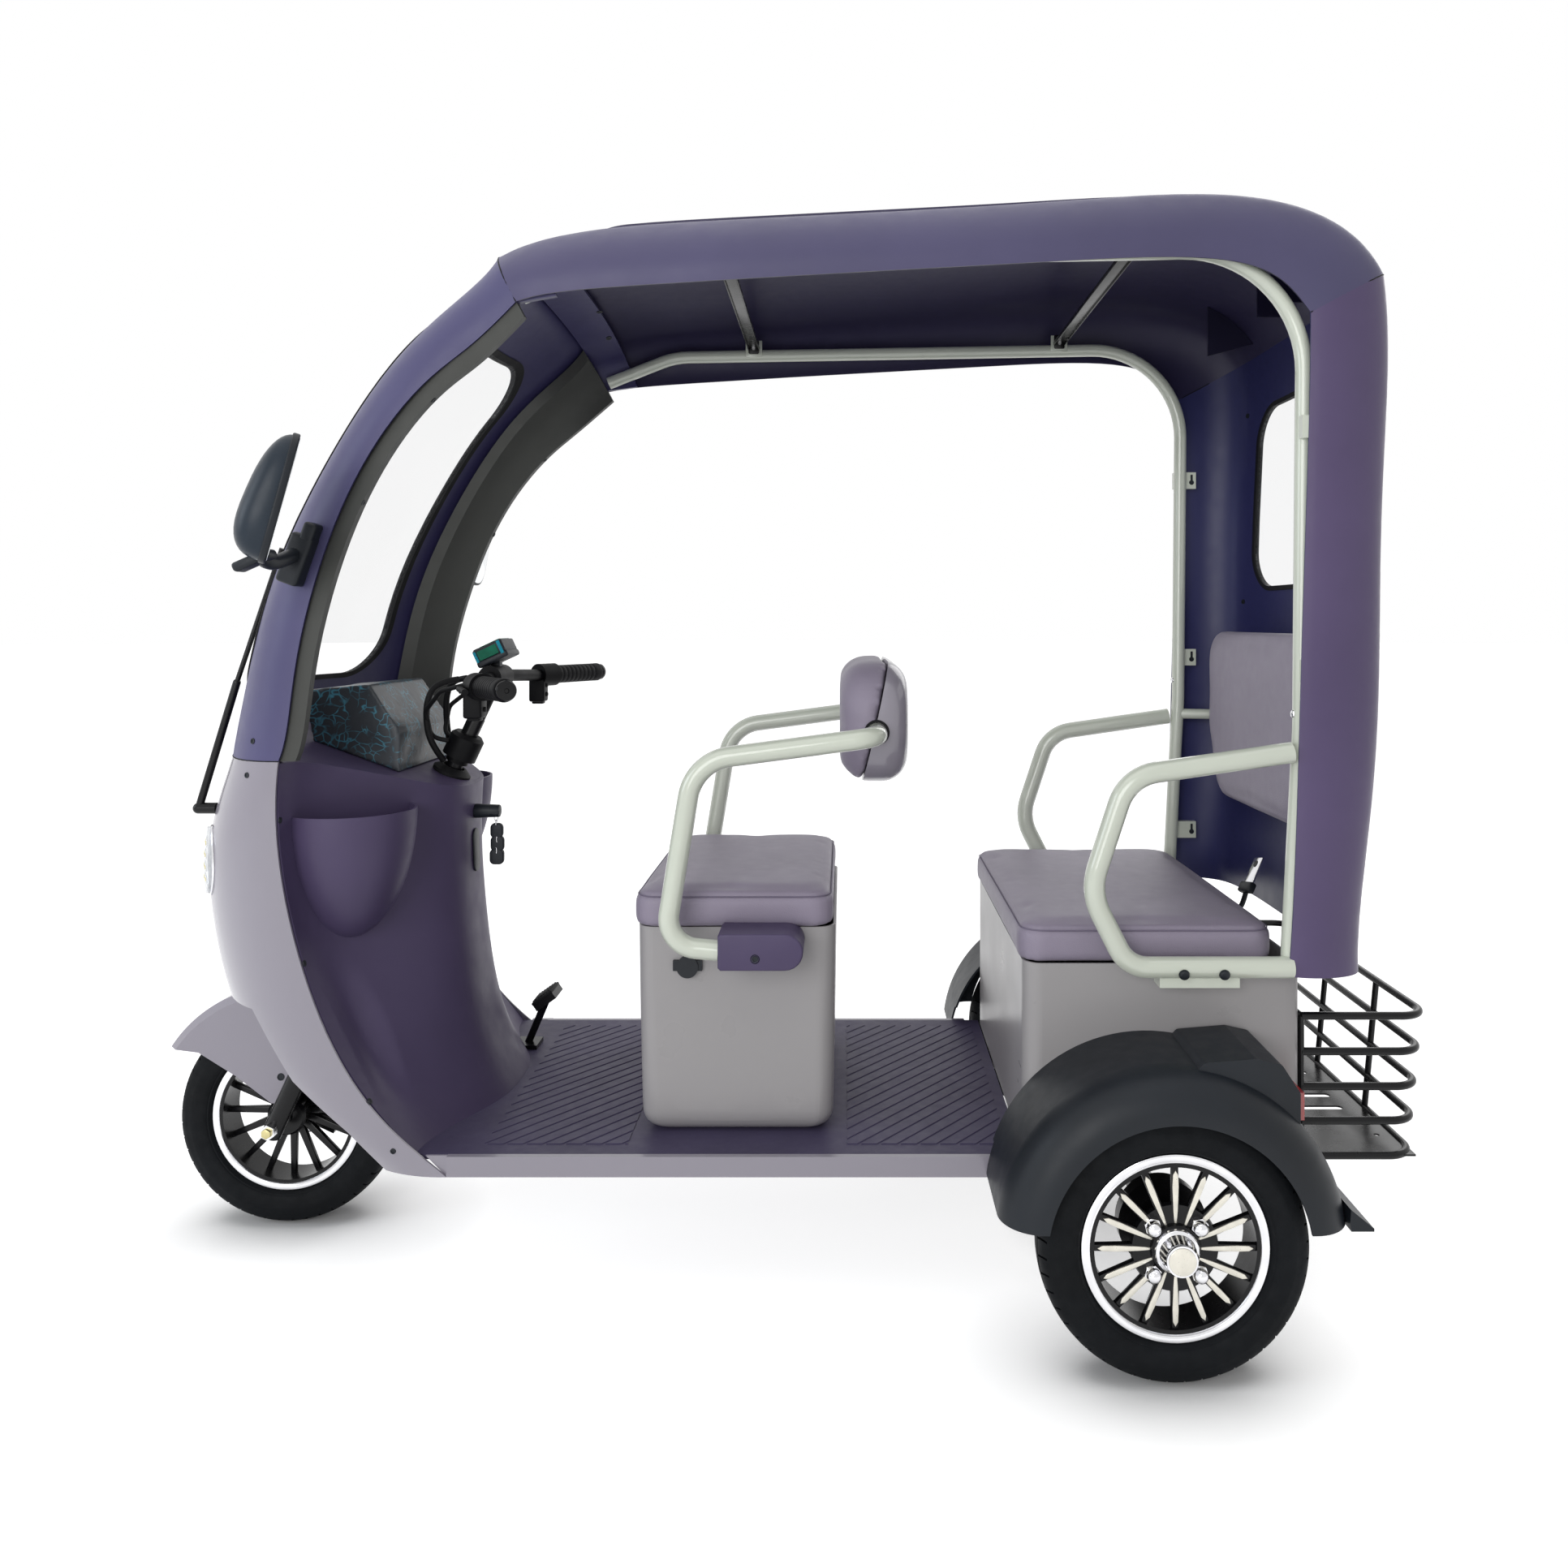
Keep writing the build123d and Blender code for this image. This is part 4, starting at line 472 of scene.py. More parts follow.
EYE = (-0.135, 2.1, 1.061)      # the camera's place, looking level along -Y
ROOM_LEVEL = 0.39               # strength of the room's light on the object
FLOOR_GLOW = 0.76               # lifts the bare floor to white where it is seen
TOUCH_REACH = 0.20              # how far the floor's contact shade spreads
DAYLIGHT = (1.0, 1.0, 1.0)
COOL = (0.82, 0.91, 1.0)
LAMPS = (                       # name, place, aim, size, watts, colour
    ("overhead", (0.3, 0.8, 4.2), (0, 0, 0.8), 4.5, 24, DAYLIGHT),
    ("side", (1.6, 4.6, 2.0), (0, 0, 0.8), 3.0, 79, DAYLIGHT),
    ("back", (-2.6, -3.2, 3.0), (0, 0, 1.0), 3.0, 34, DAYLIGHT),
    ("front", (4.2, 1.5, 2.2), (0.5, 0.2, 1.0), 2.2, 30, COOL),
)


def studio():
    """Pale floor, white surroundings and soft light from above, both sides and in front."""
    scene = bpy.context.scene
    scene.view_settings.view_transform = "Standard"
    camera = bpy.data.cameras.new("camera")
    camera.lens = 27.0
    camera.sensor_width = 36.0
    camera.shift_x = -0.0383
    camera.shift_y = -0.1040
    camera.clip_end = 200
    stand = bpy.data.objects.new("camera", camera)
    stand.location = EYE
    stand.rotation_euler = (math.radians(90), 0, math.radians(180))
    scene.collection.objects.link(stand)
    scene.camera = stand

    world = bpy.data.worlds.new("room")
    scene.world = world
    world.use_nodes = True
    tree = world.node_tree
    sky = tree.nodes["Background"]
    sky.inputs["Color"].default_value = (1, 1, 1, 1)
    level = spread(tree, seen_rays(tree), ROOM_LEVEL, 1.0, 0, 1)
    tree.links.new(level, sky.inputs["Strength"])

    floor = bpy.data.meshes.new("floor")
    plane = bmesh.new()
    bmesh.ops.create_circle(plane, cap_ends=True, segments=64, radius=60)
    plane.to_mesh(floor)
    plane.free()
    ground = bpy.data.objects.new("floor", floor)
    scene.collection.objects.link(ground)
    paper = finish("floor_paper", (0.80, 0.80, 0.80), 0.9, mottle=0.6, shade=0.01, grain=200)
    tree = paper.node_tree
    shader = tree.nodes["Principled BSDF"]
    shader.inputs["Emission Color"].default_value = (1, 1, 1, 1)
    # ambient occlusion dims the floor's glow near the object: a painted contact shadow
    touch = tree.nodes.new("ShaderNodeAmbientOcclusion")
    touch.inputs["Distance"].default_value = TOUCH_REACH
    glow = tree.nodes.new("ShaderNodeMath")
    glow.operation = "MULTIPLY"
    tree.links.new(spread(tree, touch.outputs["AO"], 0.0, FLOOR_GLOW, 0.50, 1.0), glow.inputs[0])
    tree.links.new(seen_rays(tree), glow.inputs[1])
    tree.links.new(glow.outputs[0], shader.inputs["Emission Strength"])
    floor.materials.append(paper)

    for name, place, aim, size, watts, colour in LAMPS:
        lamp = bpy.data.lights.new(name, "AREA")
        lamp.shape = "DISK"
        lamp.size = size
        lamp.energy = watts
        lamp.color = colour
        holder = bpy.data.objects.new(name, lamp)
        holder.matrix_world = towards(place, aim) @ turn(180, "X")
        scene.collection.objects.link(holder)


def seen_rays(tree):
    """One for rays that show the surroundings: camera, glossy and transmission."""
    path = tree.nodes.new("ShaderNodeLightPath")
    total = path.outputs["Is Camera Ray"]
    for kind in ("Is Glossy Ray", "Is Transmission Ray"):
        both = tree.nodes.new("ShaderNodeMath")
        both.operation = "MAXIMUM"
        tree.links.new(total, both.inputs[0])
        tree.links.new(path.outputs[kind], both.inputs[1])
        total = both.outputs[0]
    return total


# ---- carried-over CAD nodes ----

CAD_FINISH = {
    "violet": VIOLET, "violet_dark": VIOLET_DARK, "violet_floor": VIOLET_FLOOR, "pale_gloss": PALE,
    "lilac_box": LILAC, "grey_plastic": GREY, "black_plastic": BLACK_PLASTIC, "black_metal": BLACK_PAINT,
    "black_rubber": RUBBER, "cream_tube": CREAM, "bright_steel": STEEL, "clear_pane": PANE,
    "clear_lens": LENS, "red_lens": RED, "mirror_face": MIRROR, "tyre": TYRE, "lilac_leather": LEATHER,
}
NODE_FINISH = {
    "leg_shield": VIOLET_LEG, "storage_pockets": VIOLET_LEG, "dash_top": VIOLET_LEG,
    "rear_panel": VIOLET_WARM, "windshield_surround": VIOLET_BLUE, "roof_header": VIOLET_BLUE,
    "handlebar": BAR_BLACK, "bar_controls": BAR_BLACK,
}


def dress_nodes():
    """Gives every carried-over node its finish, by its own name or the record's slot name."""
    for name, node in NODES.items():
        for slot in node.material_slots:
            slot.material = NODE_FINISH.get(name, CAD_FINISH[slot.material.name.split(".")[0]])


# ---- wheels ----

PITCHES = 48            # tread blocks round the tyre
TREAD_EDGE = 0.0135     # half the width of the middle tread
SHOULDER = 0.031
GROOVE_DEEP = 0.0032
TYRE_SIDE = [
    (0.1220, 0.0262), (0.1312, 0.0268), (0.1342, 0.0312), (0.1362, 0.0345), (0.1385, 0.0347),
    (0.1400, 0.0366), (0.1480, 0.0386), (0.1560, 0.0397), (0.1640, 0.0400), (0.1655, 0.0392),
    (0.1735, 0.0378), (0.1800, 0.0345), (0.1845, 0.0300), (0.1868, 0.0250), (0.1884, 0.0190),
    (0.1892, TREAD_EDGE), (0.1860, 0.0126), (0.1860, 0.0096), (0.1896, 0.0086), (0.1900, 0.0030),
]


def tyre(name, node, body):
    """A tyre with two running grooves and slanted shoulder grooves."""
    part = turned(TYRE_SIDE + [(r, -y) for r, y in reversed(TYRE_SIDE)], steps=3 * PITCHES)
    pitch = 2 * math.pi / PITCHES
    shifts = (0.0, 0.13 * pitch, 0.56 * pitch)
    kept = {}
    for vert in part.verts:
        angle = math.atan2(vert.co.z, vert.co.x) % (2 * math.pi)
        step = round(angle / pitch * 3) % (3 * PITCHES)
        r = math.hypot(vert.co.x, vert.co.z)
        slant = 0.10 * max(0.0, (r - 0.165) / 0.025) * abs(vert.co.y) / 0.04
        angle = (step // 3) * pitch + shifts[step % 3] + slant
        kept[vert] = step % 3
        vert.co.x, vert.co.z = r * math.cos(angle), r * math.sin(angle)
    grooves = []
    for face in part.faces:
        spot = face.calc_center_median()
        sides = {kept[vert] for vert in face.verts}
        across = TREAD_EDGE < abs(spot.y) < SHOULDER + 0.003
        if sides == {0, 1} and across and math.hypot(spot.x, spot.z) > 0.178:
            grooves.append(face)
    bmesh.ops.inset_region(
        part, faces=grooves, thickness=0.0003, depth=-GROOVE_DEEP, use_boundary=True, use_even_offset=True)
    return Piece(name).add(part, TYRE, at(*middle(node))).make(body, "tyre", node)


LEAF = [
    (0.034, -0.0016), (0.052, -0.0030), (0.085, -0.0042), (0.102, -0.0036), (0.1085, 0.0),
    (0.102, 0.0036), (0.085, 0.0042), (0.052, 0.0030), (0.034, 0.0016),
]
LIP = [
    (0.1178, 0.0272), (0.1196, 0.0300), (0.1216, 0.0294), (0.1240, 0.0306), (0.1292, 0.0310),
    (0.1310, 0.0300), (0.1310, 0.0276), (0.1228, 0.0262),
]
BARREL = [
    (0.1130, -0.0290), (0.1222, -0.0290), (0.1222, -0.0262), (0.1200, -0.0180), (0.1200, 0.0180),
    (0.1222, 0.0262), (0.1222, 0.0290), (0.1130, 0.0290),
]
FLANGE = [
    (0.0083, -0.030), (0.034, -0.030), (0.034, 0.010), (0.060, 0.0165), (0.062, 0.0205),
    (0.060, 0.0265), (0.036, 0.0280), (0.034, 0.0330), (0.0083, 0.0330),
]
HUB_CAP = [
    (0.0, 0.0300), (0.0310, 0.0300), (0.0310, 0.0385), (0.0296, 0.0405), (0.0262, 0.0420),
    (0.0250, 0.0450), (0.0238, 0.0585), (0.0215, 0.0630), (0.0, 0.0638),
]
CAP_NUT = [
    (0.0, 0.0), (0.0118, 0.0), (0.0118, 0.0012), (0.0100, 0.0100), (0.0104, 0.0150),
    (0.0080, 0.0190), (0.0040, 0.0212), (0.0, 0.0218),
]
FRONT_HUB = [
    (0.0083, -0.035), (0.030, -0.035), (0.034, -0.030), (0.0305, -0.012), (0.0305, 0.012),
    (0.034, 0.030), (0.030, 0.035), (0.0083, 0.035),
]
BRAKE_DISC = [(0.030, -0.0392), (0.058, -0.0392), (0.058, -0.0352), (0.030, -0.0352)]
SPOKES = 16


def spokes(piece, spot, dish, face_side):
    """Tapered spokes, with machined faces on the outer side."""
    for number in range(SPOKES):
        place = at(*spot) @ turn(number * 360 / SPOKES, "Y")
        bar = box((0.088, 0.0100, 0.0112), 0.0022, 2)
        for vert in bar.verts:
            vert.co.z *= 1.0 - 4.0 * vert.co.x
        piece.add(bar, BLACK_PAINT, place @ at(0.073, dish, 0))
        if face_side:
            leaf = outline_block(LEAF, 0.0022, 0.0006)
            tilt = turn(-90 * face_side, "X")
            piece.add(leaf, MACHINED, place @ at(0, dish + face_side * 0.0046, 0) @ tilt)


def rim(name, node, body, side):
    """A cast wheel: polished lips, black barrel, spokes, hub and nuts."""
    spot = middle("tyre_" + name.split("rim_")[1])
    piece = Piece(name)
    piece.add(turned(BARREL, 96), BLACK_PAINT, at(*spot))
    piece.add(turned(LIP, 96), STEEL, at(*spot), at(*spot) @ FLIP_Y)
    dish = side * 0.022
    spokes(piece, spot, dish, side)
    if side:
        base = at(*spot) @ (Matrix() if side > 0 else FLIP_Y)
        piece.add(turned(FLANGE, 64), BLACK_PAINT, base)
        piece.add(turned(HUB_CAP, 64, closed=False), STEEL, base)
        cap_face = base @ at(0, 0.0634, 0) @ turn(-90, "X")
        piece.add(cone(0.0192, 0.0186, 0.0012, 48, 0.0004), MACHINED, cap_face)
        for number in range(4):
            place = base @ turn(45 + 90 * number, "Y") @ at(0.046, 0.0255, 0) @ turn(-90, "X")
            piece.add(turned(CAP_NUT, 24, axis="Z", closed=False), STEEL, place)
            piece.add(cone(0.0125, 0.0125, 0.009, 6, 0.0012), STEEL, place)
    else:
        piece.add(turned(FRONT_HUB, 64), BLACK_PAINT, at(*spot))
        piece.add(turned(BRAKE_DISC, 72), STEEL, at(*spot))
        for number in range(6):
            place = at(*spot) @ turn(60 * number, "Y") @ at(0.036, -0.0390, 0) @ turn(90, "X")
            piece.add(cone(0.0042, 0.0038, 0.003, 6), BRASS, place)
    return piece.make(body, "black_metal", node)


def wheels():
    tyre("tyre_front_tread", "tyre_front", "front_wheel")
    rim("rim_front", "rim_front", "front_wheel", 0)
    for side, name in ((1, "left"), (-1, "right")):
        tyre(f"tyre_rear_{name}_tread", f"tyre_rear_{name}", f"rear_wheel_{name}")
        rim(f"rim_rear_{name}", f"rim_rear_{name}", f"rear_wheel_{name}", side)


# ---- upholstery ----

PAD_VOXEL = 0.006
CLOTH_STEPS = 20


def as_object(name, part, finish):
    mesh = bpy.data.meshes.new(name)
    part.to_mesh(mesh)
    part.free()
    mesh.materials.append(finish)
    piece = bpy.data.objects.new(name, mesh)
    bpy.context.scene.collection.objects.link(piece)
    return piece


def settle(piece):
    """Takes what the modifiers make into the mesh, and leaves no modifier."""
    bpy.context.view_layer.update()
    made = bpy.data.meshes.new_from_object(piece.evaluated_get(bpy.context.evaluated_depsgraph_get()))
    old = piece.data
    piece.modifiers.clear()
    piece.data = made
    bpy.data.meshes.remove(old)


def remeshed(piece, voxel):
    """Makes an even mesh over a piece's shape."""
    remesh = piece.modifiers.new("remesh", "REMESH")
    remesh.mode = "VOXEL"
    remesh.voxel_size = voxel
    settle(piece)


def plump(piece, pressure, cap, flat=None):
    """Lets air pressure crown a pad, outward only, no further than `cap`, and not below `flat`."""
    remeshed(piece, PAD_VOXEL)
    start = [vert.co.copy() for vert in piece.data.vertices]
    outward = [vert.normal.copy() for vert in piece.data.vertices]
    cloth = piece.modifiers.new("cloth", "CLOTH")
    settings = cloth.settings
    settings.quality = 5
    settings.mass = 0.3
    settings.tension_stiffness = 12
    settings.compression_stiffness = 12
    settings.shear_stiffness = 6
    settings.bending_stiffness = 2.5
    settings.use_pressure = True
    settings.uniform_pressure_force = pressure
    settings.effector_weights.gravity = 0
    cloth.point_cache.frame_start = 1
    cloth.point_cache.frame_end = CLOTH_STEPS
    for number in range(1, CLOTH_STEPS + 1):
        bpy.context.scene.frame_set(number)
    settle(piece)
    bpy.context.scene.frame_set(1)
    moves = []
    for vert, before, normal in zip(piece.data.vertices, start, outward):
        move = vert.co - before
        sunk = move.dot(normal)
        if sunk < 0:
            move -= normal * sunk
        if move.length > cap:
            move *= cap / move.length
        moves.append(move)
    for _ in range(3):
        total = [move.copy() for move in moves]
        count = [1] * len(moves)
        for edge in piece.data.edges:
            first, last = edge.vertices
            total[first] += moves[last]
            total[last] += moves[first]
            count[first] += 1
            count[last] += 1
        moves = [whole / number for whole, number in zip(total, count)]
    for vert, before, move in zip(piece.data.vertices, start, moves):
        if flat is not None and before.z < flat + 0.012:
            move.z = 0.0
        vert.co = before + move
    smooth = piece.modifiers.new("smooth", "SUBSURF")
    smooth.levels = smooth.render_levels = 1
    settle(piece)
    for polygon in piece.data.polygons:
        polygon.use_smooth = True


def snapped(piece, points):
    """The nearest places on a pad's surface."""
    bpy.context.view_layer.update()
    places = []
    for point in points:
        _, place, _, _ = piece.closest_point_on_mesh(Vector(point))
        places.append(place)
    return places


def stitch(piece, points, depth=0.0022, reach=0.010):
    """Pulls a sewn groove into a pad along a closed line, and returns the line."""
    line = snapped(piece, points)
    tree = kdtree.KDTree(len(line) * 8)
    dense = []
    for first, second in zip(line, line[1:] + line[:1]):
        dense += [first.lerp(second, step / 8) for step in range(8)]
    for number, place in enumerate(dense):
        tree.insert(place, number)
    tree.balance()
    normals = [vert.normal.copy() for vert in piece.data.vertices]
    for vert, normal in zip(piece.data.vertices, normals):
        _, _, distance = tree.find(vert.co)
        if distance < reach:
            vert.co -= normal * depth * (1 - distance / reach) ** 2
    return line


def ring_points(x_from, x_to, half, z, corner):
    """Points about 30 mm apart round a pad's top edge."""
    centre = (x_from + x_to) / 2
    outline = rounded_outline(x_to - x_from, 2 * half, corner)
    points = []
    for (ax, ay), (bx, by) in zip(outline, outline[1:] + outline[:1]):
        count = max(1, int(math.hypot(bx - ax, by - ay) / 0.03))
        for number in range(count):
            share = number / count
            points.append((centre + ax + (bx - ax) * share, ay + (by - ay) * share, z))
    return points


SEAM_IN = 0.007         # the piped seam lies this far in from the pad's sides
SEAM_DOWN = 0.009       # and this far below its top


def seat_cushion(name, node, body):
    """A crowned seat pad with a piped seam round its top panel."""
    low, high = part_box(node)
    part = cad_copy(node)
    centre = (low + high) / 2
    size = high - low
    inset = 0.004
    shrink = [1 - 2 * inset / size[axis] for axis in range(3)]
    bmesh.ops.scale(
        part, vec=(shrink[0], shrink[1], 1 - inset / size.z),
        space=at(-centre.x, -centre.y, -low.z), verts=part.verts)
    pad = as_object(name, part, LEATHER)
    plump(pad, 4.0, 0.010, low.z)
    line = ring_points(
        low.x + SEAM_IN, high.x - SEAM_IN, high.y - SEAM_IN, high.z - SEAM_DOWN, 0.034)
    line = stitch(pad, line)
    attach(pad, body)
    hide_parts(node)
    piping = Piece(name + "_seam")
    piping.add(tube([tuple(place) for place in line], 0.0011, closed=True, sides=2, resolution=2), THREAD)
    piping.make(body, "lilac_leather")


def upholstery():
    seat_cushion("front_seat_pad", "front_seat_cushion", "front_seat_lid")
    seat_cushion("rear_seat_pad", "rear_seat_cushion", "rear_seat_lid")
    rider_backrest()
    passenger_backrest()


def half_of(node, point, normal):
    """The part of a CAD copy behind a plane, closed where it was cut."""
    part = cad_copy(node)
    bmesh.ops.bisect_plane(
        part, geom=part.verts[:] + part.edges[:] + part.faces[:], dist=1e-5,
        plane_co=point, plane_no=normal, clear_outer=True)
    rims = [edge for edge in part.edges if edge.is_boundary]
    bmesh.ops.holes_fill(part, edges=rims, sides=0)
    bmesh.ops.recalc_face_normals(part, faces=part.faces[:])
    return part


def rider_backrest():
    """Lilac pad in front, pale moulded shell behind, meeting at a dark seam."""
    low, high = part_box("front_backrest")
    centre = (low + high) / 2
    split = Vector((centre.x + 0.002, 0, centre.z))
    lean = Vector((1, 0, 0.22)).normalized()
    front = as_object("front_back_pad", half_of("front_backrest", split, -lean), LEATHER)
    plump(front, 3.0, 0.007)
    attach(front, "chassis")
    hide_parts("front_backrest")
    shell = half_of("front_backrest", split - lean * 0.0015, lean)
    Piece("front_back_shell").add(shell, PALE).make("chassis", "pale_gloss", "front_backrest")
    grommets = Piece("front_back_grommets")
    for side in (1, -1):
        ring = turned([(0.0165, 0.0), (0.0200, 0.0), (0.0205, 0.002), (0.0195, 0.004), (0.0165, 0.004)], 40)
        flip = Matrix() if side > 0 else FLIP_Y
        grommets.add(ring, RUBBER, at(centre.x, side * (high.y - 0.001), centre.z - 0.012) @ flip)
    grommets.make("chassis", "black_rubber")


def passenger_backrest():
    pad = as_object("rear_back_pad", cad_copy("rear_backrest"), LEATHER)
    plump(pad, 3.5, 0.008)
    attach(pad, "chassis")
    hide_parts("rear_backrest")


# ---- fittings ----

def on_surface(node, point):
    """Nearest place on a CAD node, with its outward direction."""
    _, place, normal, _ = NODES[node].closest_point_on_mesh(Vector(point))
    return place, normal


def facing(place, normal):
    """Place whose +Z leaves the surface."""
    return at(*place) @ normal.to_track_quat("Z", "Y").to_matrix().to_4x4()


MOULDING_SCREWS = (     # node, place on the left side, radius
    ("leg_shield", 0.704, 0.318, 0.759, 0.0050), ("leg_shield", 0.676, 0.312, 0.543, 0.0050),
    ("leg_shield", 0.577, 0.308, 0.337, 0.0050), ("front_cowl", 0.552, 0.316, 0.253, 0.0046),
    ("front_cowl", 0.775, 0.330, 0.828, 0.0046), ("windshield_surround", 0.768, 0.330, 0.880, 0.0046),
    ("pillar_trim", 0.560, 0.330, 1.225, 0.0046), ("arm_pivot_covers", 0.0, 0.330, 0.5485, 0.0052),
    ("roof_header", 0.330, 0.250, 1.600, 0.0060), ("roof_header", 0.330, 0.150, 1.640, 0.0060),
    ("pillar_trim", 0.470, 0.330, 1.380, 0.0046), ("rear_panel", -0.950, 0.300, 1.480, 0.0050),
    ("rear_panel", -0.950, 0.300, 1.100, 0.0050),
)
DOME_HEAD = [(0.0, 0.0032), (0.0032, 0.0030), (0.0055, 0.0012), (0.0060, -0.0010), (0.0, -0.0010)]
CUPPED_HEAD = [
    (0.0, 0.0006), (0.0040, 0.0006), (0.0046, 0.0014), (0.0062, 0.0012), (0.0066, -0.0004), (0.0, -0.0010),
]


def screws():
    """Recessed black screws on the mouldings and bright ones on the tubes."""
    dark = Piece("moulding_screws")
    for side in (1, -1):
        for node, x, y, z, r in MOULDING_SCREWS:
            place, normal = on_surface(node, (x, side * y, z))
            cup = [
                (0.0, 0.0002), (r * 0.55, 0.0002), (r * 0.60, 0.0010), (r * 0.95, 0.0012),
                (r, -0.0004), (0.0, -0.0010),
            ]
            dark.add(turned(cup, 20, axis="Z", closed=False), BLACK_PLASTIC, facing(place, normal))
    dark.make("chassis", "black_plastic")
    bright = Piece("tube_screws")
    for x, y, z in ((-0.8115, 0.326, 0.921), (-0.8115, -0.326, 0.939)):
        place, normal = on_surface("canopy_frame", (x + 0.02, y, z))
        bright.add(turned(DOME_HEAD, 20, axis="Z", closed=False), STEEL, facing(place, normal))
    bright.make("chassis", "bright_steel")
    bolts = Piece("bracket_bolts")
    for side in (1, -1):
        for x in (-0.640, -0.700):
            place, normal = on_surface("canopy_frame", (x, side * 0.40, 0.517))
            bolts.add(cone(0.0085, 0.0070, 0.006, 24, 0.0015), BLACK_PLASTIC, facing(place, normal))
    bolts.make("chassis", "black_plastic")
    cupped = Piece("mudguard_screws")
    for side in (1, -1):
        place, normal = on_surface("mudguard_front", (0.8444, side * 0.08, 0.268))
        cupped.add(turned(CUPPED_HEAD, 24, axis="Z", closed=False), BLACK_PLASTIC, facing(place, normal))
    cupped.make("steering", "black_plastic")


RIB_PITCH = 0.0235
RIB_LEAN = 40
RIB_FIELDS = ((0.425, 0.202), (-0.140, -0.390))     # ahead of the rider's box and behind it
RIB_HALF = 0.268


def floor_ribs():
    """Low slanted ribs moulded into the floor."""
    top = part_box("floor_pan")[1].z
    part = bmesh.new()
    for number in range(-30, 31):
        rib = box((0.0195, 1.1, 0.0022), 0.0008, 1)
        mesh = bpy.data.meshes.new("rib")
        rib.to_mesh(mesh)
        rib.free()
        mesh.transform(at(0.03, 0, top + 0.0002) @ turn(-RIB_LEAN, "Z") @ at(number * RIB_PITCH, 0, 0))
        part.from_mesh(mesh)
        bpy.data.meshes.remove(mesh)
    fields = bmesh.new()
    for front, rear in RIB_FIELDS:
        field = part.copy()
        for point, normal in (
            ((front, 0, 0), (1, 0, 0)), ((rear, 0, 0), (-1, 0, 0)),
            ((0, RIB_HALF, 0), (0, 1, 0)), ((0, -RIB_HALF, 0), (0, -1, 0)),
        ):
            sliced(field, point, normal, keep_outer=False)
            bmesh.ops.holes_fill(field, edges=[edge for edge in field.edges if edge.is_boundary], sides=0)
        mesh = bpy.data.meshes.new("field")
        field.to_mesh(mesh)
        field.free()
        fields.from_mesh(mesh)
        bpy.data.meshes.remove(mesh)
    part.free()
    Piece("floor_ribs").add(fields, VIOLET_FLOOR).make("chassis", "violet_floor")


class Arch:
    """One bowed section of the moulded body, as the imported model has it."""

    def __init__(self, x, z, lean, half, rise, power):
        self.x, self.z, self.lean = x, z, math.radians(lean)
        self.half, self.rise, self.power = half, rise, power

    def line(self, count=40):
        points = []
        for number in range(count + 1):
            angle = math.pi * number / count
            share = abs(math.cos(angle)) ** (2 / self.power)
            y = self.half * share * (1 if angle < math.pi / 2 else -1)
            out = self.rise * abs(math.sin(angle)) ** (2 / self.power)
            points.append((self.x + out * math.cos(self.lean), y, self.z + out * math.sin(self.lean)))
        return points


WAIST_ARCH = Arch(0.717, 0.849, 0, 0.330, 0.156, 2.2)
BROW_ARCH = Arch(0.354, 1.537, 62, 0.348, 0.134, 2.6)
REAR_ARCH = Arch(-0.829, 1.520, 152, 0.352, 0.163, 5.5)
SEAM_STEPS = 6


def body_seams():
    """Dark parting lines between the mouldings."""
    seams = Piece("body_seams")
    for arch, node in ((WAIST_ARCH, "front_cowl"), (BROW_ARCH, "roof_shell"), (REAR_ARCH, "rear_panel")):
        corners = [Vector(point) for point in arch.line()]
        line = []
        for first, last in zip(corners, corners[1:]):
            for share in range(SEAM_STEPS):
                place, normal = on_surface(node, first.lerp(last, share / SEAM_STEPS))
                line.append(place + normal * 0.0002)
        seams.add(tube(line, 0.0010, sides=1, resolution=2), RUBBER)
    seams.make("chassis", "black_rubber")


MIRROR_SPOT = (0.654, 0.450, 1.232)
SQUARED = 0.74      # power that squares a round outline: 1 leaves it round
FOOT_IN = 0.12      # how much a mirror narrows towards its foot


def mirror_place(side):
    """A mirror's own frame: the left turned to the rider, the right set square and upright."""
    x, y, z = MIRROR_SPOT
    yaw, lean = (27, -14) if side > 0 else (-4, -5)
    return at(x, side * y, z) @ turn(yaw, "Z") @ turn(lean, "Y")


def mirror_outline(half_wide, half_high, count=48):
    """A squared oval (up, across), a little narrower at its foot."""
    points = []
    for number in range(count):
        angle = 2 * math.pi * number / count
        up = math.copysign(abs(math.cos(angle)) ** SQUARED, math.cos(angle))
        across = math.copysign(abs(math.sin(angle)) ** SQUARED, math.sin(angle))
        points.append((half_high * up, half_wide * across * (1 + FOOT_IN * min(0.0, up))))
    return points


